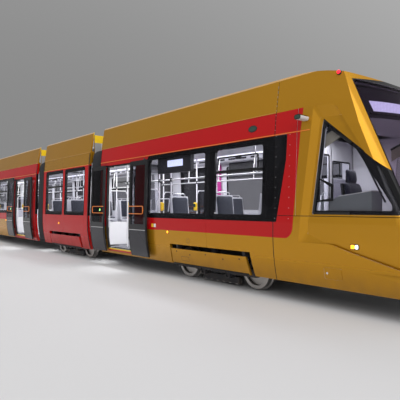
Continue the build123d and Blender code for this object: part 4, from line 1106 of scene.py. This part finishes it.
def side_console(spot):
    """Pale top of the side console with its controls."""
    y0, y1, thick = 0.803, 1.075, 0.012
    top = ((15.352, 1.531), (15.60, 1.56), (15.815, 1.591))
    spot.loft("pale", [[(x, y0, z), (x, y1, z), (x, y1, z + thick), (x, y0, z + thick)] for x, z in top])
    for k in range(5):
        x, rise = 15.40 + 0.075 * k, 0.009 * k
        spot.box("plastic", x, x + 0.04, 0.83, 0.86, 1.545 + rise, 1.558 + rise, 0.003)
        material = "lamp_orange" if k == 2 else "grey"
        spot.knob(material, (x + 0.02, 0.93, 1.543 + rise), (-0.1, 0, 1), 0.011, 0.01, 0.008, 0.013, 10)


def nose_side(spot):
    """Marker lamp, side repeater, lenses of the camera pod and the light line in the seam."""
    # Red marker lamp on its base at the roof's edge
    place, axis = (15.352, 1.065, 3.209), (0, 1, 0.35)
    spot.turned("plastic", [(0.03, -0.03), (0.034, 0.0), (0.03, 0.012)], place, axis, 18)
    spot.turned("lamp_red", [(0.026, 0.008), (0.026, 0.022), (0.019, 0.034), (0, 0.038)], place, axis, 18)
    # Side repeater on the floor of the recess
    y = half_width(0.873) - 0.047
    for material, x0, x1, half, radius, proud, depth in (
        ("plastic", -0.062, 0.062, 0.036, 0.02, 0.0, 0.008),
        ("lamp_orange", -0.004, 0.052, 0.026, 0.012, 0.006, 0.006),
        ("lamp_white", -0.052, -0.01, 0.026, 0.012, 0.006, 0.006),
    ):
        outline = rounded(x0, x1, -half, half, radius, 4)
        spot.prism(material, outline, (15.63, y + proud, 0.873), *FACING_OUT, depth)
    # Lenses of the camera pod
    lens = [(0.013, 0), (0.013, 0.004), (0.008, 0.007), (0, 0.008)]
    for z in (2.638, 2.668):
        spot.turned("mirror", lens, (14.805, 1.29, z), (-1, 0, 0), 14)
    cover = rounded(-0.045, 0.045, -0.026, 0.026, 0.01, 3)
    spot.prism("mirror", cover, (14.86, 1.33, 2.653), *FACING_OUT, 0.003)
    # Light line in the seam between the walls and the nose
    for k in range(10):
        z = 2.52 + 0.075 * k
        y = half_width(z + 0.02)
        spot.box("alu", SEAM - 0.002, SEAM + 0.002, y - 0.012, y - 0.001, z, z + 0.045)


def headlamp(spot):
    """Three reflector bowls with their lamps, and the screws along the bumper's top."""
    lamps = ((0.59, 0.046, "lamp_white"), (0.70, 0.046, "lamp_white"), (0.80, 0.036, "lamp_orange"))
    for y, r, material in lamps:
        facing = (sqrt(SCREEN_BOW**2 - y * y), y, 0)
        place = (front_x(y, LAMP_HEIGHT) - 0.020, y, LAMP_HEIGHT)
        bowl = [(0.012, 0), (r * 0.7, 0.004), (r, 0.014), (r + 0.004, 0.014), (r * 0.8, 0), (0.012, -0.001)]
        spot.turned("chrome", bowl, place, facing, 24)
        spot.turned(material, [(0.016, 0.001), (0.018, 0.008), (0.011, 0.013), (0, 0.014)], place, facing, 16)
    for k in range(4):
        y = 0.2 + 0.24 * k
        spot.stud("plastic", (front_x(y, 0.86), y, 0.875), (0.6, 0, 0.8), 0.008, 0.003, 10)


for end, word in WORDS.items():
    for fitting in (windscreen, desk, partition, cab_ceiling):
        fitting(Spot(f"{word}_cab_module", end))
for spot in CAB_SPOTS:
    for fitting in (side_window, side_console, nose_side, headlamp):
        fitting(spot)


# Saloons
def saloon(body, end, x0, x1, poles, screens):
    """Lights, rails and hoops of one module, for both of its sides."""
    for side in (-1, 1):
        spot = Spot(body, end, side)
        spot.box("led", x0 + 0.06, x1 - 0.06, 0.58, 0.70, 2.545, CEILING, 0.005)
        spot.box("lining", x0 + 0.04, x1 - 0.04, 0.74, 1.06, 2.44, CEILING, 0.03)
        for k in range(int((x1 - x0) / 0.35)):
            x = x0 + 0.2 + 0.35 * k
            spot.box("plastic", x, x + 0.22, 0.735, 0.741, 2.475, 2.515)
        # Rail on brackets below the ceiling
        spot.tube("alu", [(x0 + 0.25, RAIL_Y, RAIL_HEIGHT), (x1 - 0.25, RAIL_Y, RAIL_HEIGHT)], 0.016, 10)
        for k in range(int((x1 - x0 - 0.5) / 1.1) + 1):
            x = x0 + 0.3 + 1.1 * k
            spot.tube("alu", [(x, RAIL_Y, RAIL_HEIGHT), (x, 0.58, 2.3), (x, 0.62, 2.556)], 0.011, 8)
        for x in poles:
            foot = [(0.017, 0), (0.034, 0.002), (0.034, 0.008), (0.018, 0.014)]
            joint = [(0.019, -0.04), (0.025, -0.03), (0.025, 0.03), (0.019, 0.04)]
            spot.turned("chrome", foot, (x, RAIL_Y, FLOOR), UP, 16)
            spot.turned("plastic", joint, (x, RAIL_Y, RAIL_HEIGHT), UP, 14)
        for x in screens:
            spot.box("white", x - 0.012, x + 0.012, 0.585, 1.06, 0.46, 1.02, 0.006)
            spot.box("glass", x - 0.004, x + 0.004, 0.60, 1.05, 1.03, 1.78)
            hoop = [(RAIL_Y, 0.5), (RAIL_Y, 1.7), (0.62, 1.79), (1.02, 1.79), (1.07, 1.72), (1.07, 0.5)]
            spot.tube("white", [(x, y, z) for y, z in hoop], 0.014, 8)
            # Validator and stop button on the pole
            spot.box("yellow", x - 0.05, x + 0.05, 0.49, 0.545, 1.30, 1.50, 0.012)
            screen = rounded(-0.035, 0.035, -0.04, 0.04, 0.006, 3)
            spot.prism("mirror", screen, (x, 0.489, 1.43), (1, 0, 0), UP, 0.002)
            button = [(0.016, 0), (0.016, 0.006), (0, 0.009)]
            spot.turned("lamp_red", button, (x, 0.541, 1.12), (0, -1, 0), 12)


saloon("centre_module", 1, -CENTRE_END, CENTRE_END, [-3.6, -2.1, 2.1, 3.6], [-3.56, -2.14, 2.14, 3.56])
for end, word in WORDS.items():
    saloon(f"{word}_bogie_module", end, BOGIE_START, BOGIE_END, [BOGIE_MID], [])
    poles = [CAB_DOOR - 0.7, CAB_DOOR + 0.7, CAB_DOOR + 1.15]
    saloon(f"{word}_cab_module", end, CAB_START, SEAM - 0.09, poles, poles[:2])
for spot in CAB_SPOTS:
    # Coloured strip between the doorway and the windows, hoop rails by them, and the side display
    spot.box("magenta", 10.60, 10.74, 1.075, 1.088, 0.5, 2.43, 0.004)
    hoop = [
        (11.0, 1.05, 1.3), (11.0, 1.02, 1.5), (11.03, 1.0, 1.56),
        (11.4, 1.0, 1.56), (11.43, 1.02, 1.5), (11.43, 1.05, 1.3),
    ]
    spot.tube("white", hoop, 0.012, 8)
    spot.box("plastic", 11.10, 12.19, 0.99, 1.080, 2.08, 2.44, 0.008)
    display = rounded(-0.25, 0.25, -0.065, 0.065, 0.01, 3)
    spot.prism("display", display, (11.70, 1.081, 2.265), *FACING_OUT, 0.004)
    # Cabinet before the partition, with a dark glass panel towards the saloon
    spot.box("white", 14.10, 14.24, 0.45, 1.03, 0.56, 1.9, 0.01)
    spot.box("mirror", 14.09, 14.10, 0.55, 0.95, 1.2, 1.8, 0.003)


# Seat pads
def pad_mesh(name, wide, long, thick, channels=(), bolster=0.0, material="seat_cloth"):
    """Crowned pad on its flat back, whose sides pull in between the corners, with sewn channels."""
    n = 16
    waist = 0.02

    def height(u, v):
        side = max((1 - min(1, abs(u)) ** 5) * (1 - min(1, abs(v)) ** 5), 0)
        crown = 0.45 + 0.55 * sqrt(max(0.0, 1 - 0.55 * u * u - 0.4 * v * v))
        rise = thick * side**0.4 * crown
        rise += bolster * max(0.0, abs(v) - 0.62) / 0.38 * side**0.5
        for place in channels:
            gap = (u - place) / 0.035
            rise -= thick * 0.22 * max(0.0, 1 - gap * gap) * side**0.4
        return rise + 0.0022 * sin(7.3 * u + 2.1 * v) * sin(5.1 * v - 1.7 * u) * side

    def plan(u, v):
        x = u * long / 2 * (1 - waist * (1 - v * v) * abs(u) ** 6)
        y = v * wide / 2 * (1 - waist * (1 - u * u) * abs(v) ** 6)
        round_off = 1 - 0.06 * (abs(u) ** 8) * (abs(v) ** 8)
        return x * round_off, y * round_off

    # Rows lie closer together towards the edges
    ticks = [sin((2 * i / n - 1) * pi / 2) for i in range(n + 1)]
    grid = [(*plan(u, v), 0.004 + height(u, v)) for u in ticks for v in ticks]
    top = len(grid)
    verts = grid + [(x * 0.985, y * 0.985, 0.0) for x, y, _ in grid]
    faces = []
    for i in range(n):
        for j in range(n):
            a = i * (n + 1) + j
            faces.append((a, a + n + 1, a + n + 2, a + 1))
            faces.append((top + a, top + a + 1, top + a + n + 2, top + a + n + 1))
    rim = [i * (n + 1) for i in range(n + 1)] + [n * (n + 1) + j for j in range(1, n + 1)]
    rim += [i * (n + 1) + n for i in range(n - 1, -1, -1)] + list(range(n - 1, 0, -1))
    faces += [(a, top + a, top + b, b) for a, b in zip(rim, rim[1:] + rim[:1])]
    # Piping round the edge
    sides = 6
    loop = [Vector(verts[i]) for i in rim]
    base = len(verts)
    for p, along in zip(loop, headings(loop, True)):
        out = along.cross(Vector(UP)).normalized()
        verts += [tuple(p + out * a + Vector((0, 0, b + 0.003))) for a, b in circle(sides, 0.0035)]
    for k in range(len(loop)):
        here, there = base + k * sides, base + (k + 1) % len(loop) * sides
        for s in range(sides):
            t = (s + 1) % sides
            faces.append((here + s, there + s, there + t, here + t))
    return make_mesh(name, verts, faces, material, 60)


def lay_pad(name, mesh, body, place, along, normal):
    """Puts a pad at a place with its length along a direction and its crown towards normal."""
    along, normal = Vector(along).normalized(), Vector(normal).normalized()
    turn = Matrix((along, normal.cross(along), normal)).transposed().to_4x4()
    obj = add_object(name, mesh)
    obj.matrix_world = Matrix.Translation((place[0], place[1], place[2] + LIFT)) @ turn
    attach(obj, body)
    return obj


SEAT_PAD = pad_mesh("seat_pad", 0.405, 0.335, 0.034, (-0.1,))
BACK_PAD = pad_mesh("back_pad", 0.395, 0.50, 0.030, (-0.35, 0.45))


def passenger_seat(tag, body, x, y, facing, base):
    """Pads and grab handle of one seat, whose shell and foot are in the CAD."""
    lay_pad(f"{tag}_cushion", SEAT_PAD, body, (x + facing * 0.035, y, base + 0.3105), (facing, 0, 0), UP)
    lean = Vector((-facing * 0.07, 0, 0.58)).normalized()
    normal = Vector((facing * 0.58, 0, 0.07)).normalized()
    place = Vector((x - facing * 0.13, y, base + 0.31)) + lean * 0.31 + normal * 0.0008
    lay_pad(f"{tag}_back", BACK_PAD, body, place, lean, normal)
    handle = ((-0.16, 0.86), (-0.16, 0.92), (-0.13, 0.94), (0.13, 0.94), (0.16, 0.92), (0.16, 0.86))
    Spot(body).tube("alu", [(x - facing * 0.225, y + a, base + b) for a, b in handle], 0.011, 8)


def seat_group(tag, body, middle, end, steps, base):
    """Pairs of seats on both sides, numbered from the first step, each with the way that it faces."""
    number = 0
    for dx, facing in steps:
        for side in (-1, 1):
            number += 1
            passenger_seat(f"{tag}_{number}", body, end * (middle + dx), side * SEAT_Y, end * facing, base)


BOX_TOP = 0.72
BOGIES = (("cab", CAB_BOGIE), ("bogie", BOGIE_MID))
BOGIE_SEATS = ((-1.0, 1), (-0.33, -1), (0.33, 1), (1.0, -1))
CENTRE_SEATS = ((-1.5, 1), (-0.75, -1), (0, 1), (0.75, -1), (1.5, -1))
for end, word in WORDS.items():
    for part, middle in BOGIES:
        seat_group(f"{word}_{part}_seat", f"{word}_{part}_module", middle, end, BOGIE_SEATS, BOX_TOP)
seat_group("centre_seat", "centre_module", 0, 1, CENTRE_SEATS, FLOOR)


# Driver's seats
DRIVER_CUSHION = pad_mesh("driver_cushion", 0.46, 0.44, 0.085, (-0.45, 0.1), 0.02, "driver_cloth")
DRIVER_BACK = pad_mesh("driver_back", 0.45, 0.68, 0.075, (-0.5, -0.1, 0.35), 0.03, "driver_cloth")
DRIVER_HEAD = pad_mesh("driver_head", 0.26, 0.21, 0.05, material="driver_cloth")


def driver_seat(word, end):
    """Pads, shell, pedestal and armrests of one driver's seat."""
    body = f"{word}_cab_module"
    lean = (-end * 0.08, 0, 0.70)
    normal = (end * 0.70, 0, 0.08)
    for name, mesh, x, z, along, crown in (
        ("cushion", DRIVER_CUSHION, 15.20, 1.045, (end, 0, 0), UP),
        ("back", DRIVER_BACK, 14.945, 1.43, lean, normal),
        ("headrest", DRIVER_HEAD, 14.895, 1.872, lean, normal),
    ):
        pad = lay_pad(f"{word}_driver_{name}", mesh, body, (end * x, 0, z), along, crown)
        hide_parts(f"{word}_driver_seat")
    spot = Spot(body, end)
    spot.box("plastic", 14.985, 15.415, -0.22, 0.22, 1.015, 1.046, 0.012)
    rings = []
    for x, z in ((14.94, 1.08), (14.928, 1.2), (14.905, 1.4), (14.882, 1.6), (14.862, 1.76)):
        rings.append([(x - 0.03, -0.2, z), (x + 0.012, -0.215, z), (x + 0.012, 0.215, z), (x - 0.03, 0.2, z)])
    spot.loft("plastic", rings)
    spot.box("plastic", 14.868, 14.893, -0.115, 0.115, 1.775, 1.965, 0.01)
    for y in (-0.06, 0.06):
        spot.tube("chrome", [(14.875, y, 1.70), (14.880, y, 1.82)], 0.007, 8)
    # Folded boot round the pedestal, and its base plate
    profile = [(0.13, 0.0), (0.13, 0.02)]
    for k in range(9):
        profile += [(0.085, 0.04 + 0.042 * k), (0.108, 0.061 + 0.042 * k)]
    profile += [(0.09, 0.43), (0.14, 0.455), (0.14, 0.47)]
    spot.turned("rubber", profile, (15.18, 0, 0.55), UP, 24)
    # Armrests and adjusters
    for side in (-1, 1):
        y0, y1 = sorted((side * 0.245, side * 0.30))
        spot.box("plastic", 14.99, 15.29, y0, y1, 1.285, 1.325, 0.015)
        spot.tube("plastic", [(14.95, side * 0.235, 1.30), (15.0, side * 0.27, 1.30)], 0.016, 8)
        spot.knob("plastic", (15.05, side * 0.222, 1.03), (0, side, 0), 0.03, 0.02, 0.022, 0.028, 16)


for end, word in WORDS.items():
    driver_seat(word, end)


# Running gear
def wheel_trim(number, x):
    """Hub bolts, rubber ring, brake disc and axle end on both wheels of one axle."""
    face = 0.81
    disc = [
        (0.075, -0.03), (0.1, -0.025), (0.1, -0.012), (0.165, -0.012),
        (0.165, 0.012), (0.1, 0.012), (0.1, 0.025), (0.075, 0.03),
    ]
    for side in (-1, 1):
        spot = Spot(f"wheelset_{number}", 1, side)
        for a, b in circle(8, 0.066):
            spot.bolt("frame", (x + a, face - 0.002, WHEEL_RADIUS + b), OUT, 0.013, 0.010, 0.011)
        ring = [(x + a, face - 0.052, WHEEL_RADIUS + b) for a, b in circle(40, 0.237)]
        spot.tube("rubber", ring, 0.009, 6, closed=True)
        spot.turned("steel", disc, (x, 0.50, WHEEL_RADIUS), OUT, 32)
        cap = [(0.028, 0), (0.028, 0.006), (0.018, 0.012), (0, 0.013)]
        spot.turned("chrome", cap, (x, 0.979, WHEEL_RADIUS), OUT, 16)


def coil(spot, material, x, y, z0, z1, radius, wire, turns):
    """Helical spring on an upright axis."""
    steps = 14
    count = turns * steps
    round_once = circle(steps, radius)
    points = []
    for k in range(count + 1):
        a, b = round_once[k % steps]
        points.append((x + a, y + b, z0 + (z1 - z0) * k / count))
    spot.tube(material, points, wire, 6)


def bogie_trim(spot, middle):
    """Springs, bolts of the axle boxes, brake hoses and track brake of one side of a bogie."""
    coil(spot, "plastic", middle, 0.90, 0.365, 0.65, 0.086, 0.011, 6)
    for step in (-AXLE_STEP, AXLE_STEP):
        for a, b in ((1, 1), (-1, 1), (-1, -1), (1, -1)):
            x = middle + step + a * 0.062 * sqrt(0.5)
            spot.bolt("alu", (x, 0.992, WHEEL_RADIUS + b * 0.04 * sqrt(0.5)), OUT, 0.011, 0.008, 0.009)
    hose = [(0.93, 0.30), (0.965, 0.26), (0.955, 0.17), (0.90, 0.15)]
    for step in (-0.33, 0.33):
        spot.tube("rubber", smooth_path([(middle + step, y, z) for y, z in hose], 4), 0.012, 8)
    for k in range(6):
        x = middle - 0.42 + 0.168 * k
        spot.box("steel", x - 0.03, x + 0.03, 0.712, 0.785, 0.012, 0.03, 0.004)


number = 0
for middle in (CAB_BOGIE, BOGIE_MID, -BOGIE_MID, -CAB_BOGIE):
    for step in (AXLE_STEP, -AXLE_STEP):
        number += 1
        wheel_trim(number, middle + step)
for spots, middle in ((CAB_SPOTS, CAB_BOGIE), (BOGIE_SPOTS, BOGIE_MID)):
    for spot in spots:
        bogie_trim(spot, middle)


# Roof
def roof_fan(spot, x, top):
    """Ring, grille and dark well of a fan on an equipment case."""
    spot.turned("plastic", [(0.24, 0), (0.25, 0.015), (0.235, 0.028), (0.225, 0.01)], (x, 0, top), UP, 32)
    for radius in (0.05, 0.1, 0.15, 0.2):
        ring = [(x + a, b, top + 0.022) for a, b in circle(28, radius)]
        spot.tube("plastic", ring, 0.0035, 4, closed=True)
    for a, b in circle(8, 0.235):
        spot.tube("plastic", [(x, 0, top + 0.02), (x + a, b, top + 0.02)], 0.004, 4)
    spot.turned("carbon", [(0.22, 0.002), (0.22, 0.004), (0, 0.004)], (x, 0, top), UP, 24)


def case_trim(body, end, x0, x1, half, top, fans=()):
    """Lid joints, catches, lifting eyes and fans of an equipment case."""
    count = max(2, int((x1 - x0) / 0.8))
    for side in (-1, 1):
        spot = Spot(body, end, side)
        for k in range(1, count):
            x = x0 + (x1 - x0) * k / count
            spot.box("rubber", x - 0.004, x + 0.004, 0.0, half - 0.075, top - 0.001, top + 0.003)
        for k in range(count):
            x = x0 + (x1 - x0) * (k + 0.5) / count
            spot.box("alu", x - 0.05, x + 0.05, half - 0.1, half - 0.08, top, top + 0.012, 0.004)
            eye = ((-0.03, 0), (-0.03, 0.03), (0.03, 0.03), (0.03, 0))
            spot.tube("alu", [(x + a, half - 0.14, top + b) for a, b in eye], 0.006, 6)
    for x in fans:
        roof_fan(Spot(body, end), x, top)


def conduit(spot, x0, x1, y, radius):
    spot.tube("rubber", [(x0, y, DECK + 0.02), (x1, y, DECK + 0.02)], radius, 8)


for end, word in WORDS.items():
    cab, bogie = f"{word}_cab_module", f"{word}_bogie_module"
    fans = (CAB_START + 1.35, CAB_START + 2.65)
    case_trim(cab, end, CAB_START + 0.7, CAB_START + 3.3, 0.78, DECK + CASE_HIGH, fans)
    case_trim(cab, end, CAB_START + 3.7, CAB_START + 5.3, 0.70, DECK + CASE_MIDDLE)
    fans = (BOGIE_START + 1.0, BOGIE_END - 1.0)
    case_trim(bogie, end, BOGIE_START + 0.5, BOGIE_END - 0.5, 0.70, DECK + CASE_LOW, fans)
for spots, x0, x1 in (
    (CAB_SPOTS, CAB_START + 0.06, SEAM - 0.1),
    (BOGIE_SPOTS, BOGIE_START + 0.06, BOGIE_END - 0.06),
):
    for spot in spots:
        conduit(spot, x0, x1, 0.87, 0.018)
        conduit(spot, x0, x1, 0.92, 0.014)
case_trim("centre_module", 1, 0.3, 3.3, 0.78, DECK + CASE_HIGH, (1.0, 2.6))


# Pantograph
def pantograph_base(spot):
    """Insulators, base tubes, main cable and raising springs on one side of the pantograph."""
    profile = []
    for k in range(4):
        z = 0.012 + 0.042 * k
        profile += [(0.047, z), (0.082, z + 0.012), (0.082, z + 0.018), (0.047, z + 0.032)]
    for x in (-2.31, -0.53):
        spot.turned("insulator", profile, (x, 0.38, DECK), UP, 24)
    spot.tube("frame", [(-2.3, 0.38, 3.005), (-0.55, 0.38, 3.005)], 0.012, 8)
    # Main cable from the base to the first case
    cable = [(-0.46, 2.95), (-0.2, 2.86), (0.0, 2.84), (0.31, 2.90)]
    spot.tube("rubber", smooth_path([(x, 0.30, z) for x, z in cable]), 0.022, 8)
    coil(spot, "steel", -0.70, 0.24, 2.955, 2.99, 0.02, 0.004, 3)


PANTO_PIVOT = 3.03
for side in (-1, 1):
    spot = Spot("centre_module", 1, side)
    conduit(spot, -4.2, 4.2, 0.87, 0.018)
    pantograph_base(spot)
    rod = [(-0.78, 0.10, PANTO_PIVOT + 0.035), (-2.12, 0.02, PANTO_PIVOT + 0.046)]
    Spot("pantograph_lower_arm", 1, side).tube("chrome", rod, 0.008, 8)
    spot = Spot("pantograph_head", 1, side)
    for x in (-0.69, -0.31):
        spot.box("carbon", x - 0.017, x + 0.017, 0.0, 0.5, PANTO_PIVOT + 0.184, PANTO_PIVOT + 0.2, 0.004)
        for y in (0.1, 0.26, 0.42):
            spot.bolt("alu", (x, y, PANTO_PIVOT + 0.151), UP, 0.008, -0.006, -0.007)
knee = [(0.026, -0.128), (0.026, -0.122), (0.018, -0.118)]
Spot("pantograph_lower_arm").turned("chrome", knee, (-2.2, 0, PANTO_PIVOT), OUT, 16)


# Making the pieces: one for each body and material that was drawn on
SLOTS = {
    "glass": "window_glass", "door": "door_glass", "frame": "bogie_steel", "steel": "wheel_steel",
    "pantograph": "pantograph_metal", "lining": "cab_plastic", "grey": "cab_plastic", "pale": "cab_plastic",
    "seat_cloth": "seat_fabric", "driver_cloth": "seat_fabric", "shell": "seat_shell",
}
for (body, material), (verts, faces) in sorted(STORE.items()):
    name = f"{body}_{material}"
    piece = add_object(name, make_mesh(name, verts, faces, material, 35))
    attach(piece, body)
    material in SLOTS


# Camera, floor and light
data = bpy.data.cameras.new("camera")
data.lens = CAMERA_LENS
data.sensor_width = 36
data.shift_y = CAMERA_SHIFT
data.clip_end = 500
camera = add_object("camera", data)
camera.location = CAMERA_PLACE
camera.rotation_euler = (radians(90), 0, radians(CAMERA_TURN))
bpy.context.scene.camera = camera

mesh = bpy.data.meshes.new("floor")
corners = [(x * FLOOR_REACH, y * FLOOR_REACH, 0) for x, y in ((-1, -1), (1, -1), (1, 1), (-1, 1))]
mesh.from_pydata(corners, [], [(0, 1, 2, 3)])
floor = add_object("floor", mesh)
ground = Finish("studio_floor", (0.64, 0.64, 0.65), 0.8)
ground.vary(ground.noise(0.4, 2.0), 0.01)
mesh.materials.append(ground.done())
floor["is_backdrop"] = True


def soft_sun(name, direction, strength, angle):
    """Broad even light from one side, so that the whole length is lit alike."""
    light = bpy.data.lights.new(name, "SUN")
    light.energy = strength
    light.angle = radians(angle)
    add_object(name, light).rotation_euler = (-Vector(direction)).to_track_quat("-Z", "Y").to_euler()


def saloon_light(name, body, end, x0, x1):
    """The saloon's own light, spread along the ceiling, which moves with its module."""
    light = bpy.data.lights.new(name, "AREA")
    light.shape = "RECTANGLE"
    light.size = x1 - x0
    light.size_y = 0.5
    light.energy = WATTS_PER_METRE * (x1 - x0)
    lamp = add_object(name, light)
    lamp.location = (end * (x0 + x1) / 2, 0, 2.54 + LIFT)
    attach(lamp, body)


soft_sun("key", (1.0, -0.6, 1.0), 1.7, 60)
soft_sun("fill", (-1.0, 0.8, 0.7), 0.6, 70)
saloon_light("centre_light", "centre_module", 1, -CENTRE_END, CENTRE_END)
for end, word in WORDS.items():
    saloon_light(f"{word}_bogie_light", f"{word}_bogie_module", end, BOGIE_START, BOGIE_END)
    saloon_light(f"{word}_saloon_light", f"{word}_cab_module", end, CAB_START, SEAM - 0.1)
    saloon_light(f"{word}_cab_light", f"{word}_cab_module", end, SEAM + 0.1, SEAM + 0.7)

# Bright above and before the tram, dim behind it, so that shaped paint shows its form
SKY_BRIGHT = (0.75, -0.15, 0.6)
world = bpy.data.worlds.new("studio")
bpy.context.scene.world = world
world.use_nodes = True
tree = world.node_tree
shade = tree.nodes["Background"]
place = tree.nodes.new("ShaderNodeTexCoord")
along = tree.nodes.new("ShaderNodeVectorMath")
along.operation = "DOT_PRODUCT"
along.inputs[1].default_value = SKY_BRIGHT
sky = tree.nodes.new("ShaderNodeMapRange")
sky.interpolation_type = "SMOOTHSTEP"
for slot, value in (("From Min", -0.7), ("From Max", 0.7), ("To Min", 0.25), ("To Max", 0.75)):
    sky.inputs[slot].default_value = value
tree.links.new(place.outputs["Generated"], along.inputs[0])
tree.links.new(along.outputs["Value"], sky.inputs["Value"])
tree.links.new(sky.outputs["Result"], shade.inputs["Strength"])
shade.inputs["Color"].default_value = (1, 1, 1, 1)

bpy.context.scene.view_settings.view_transform = "Standard"

low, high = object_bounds()
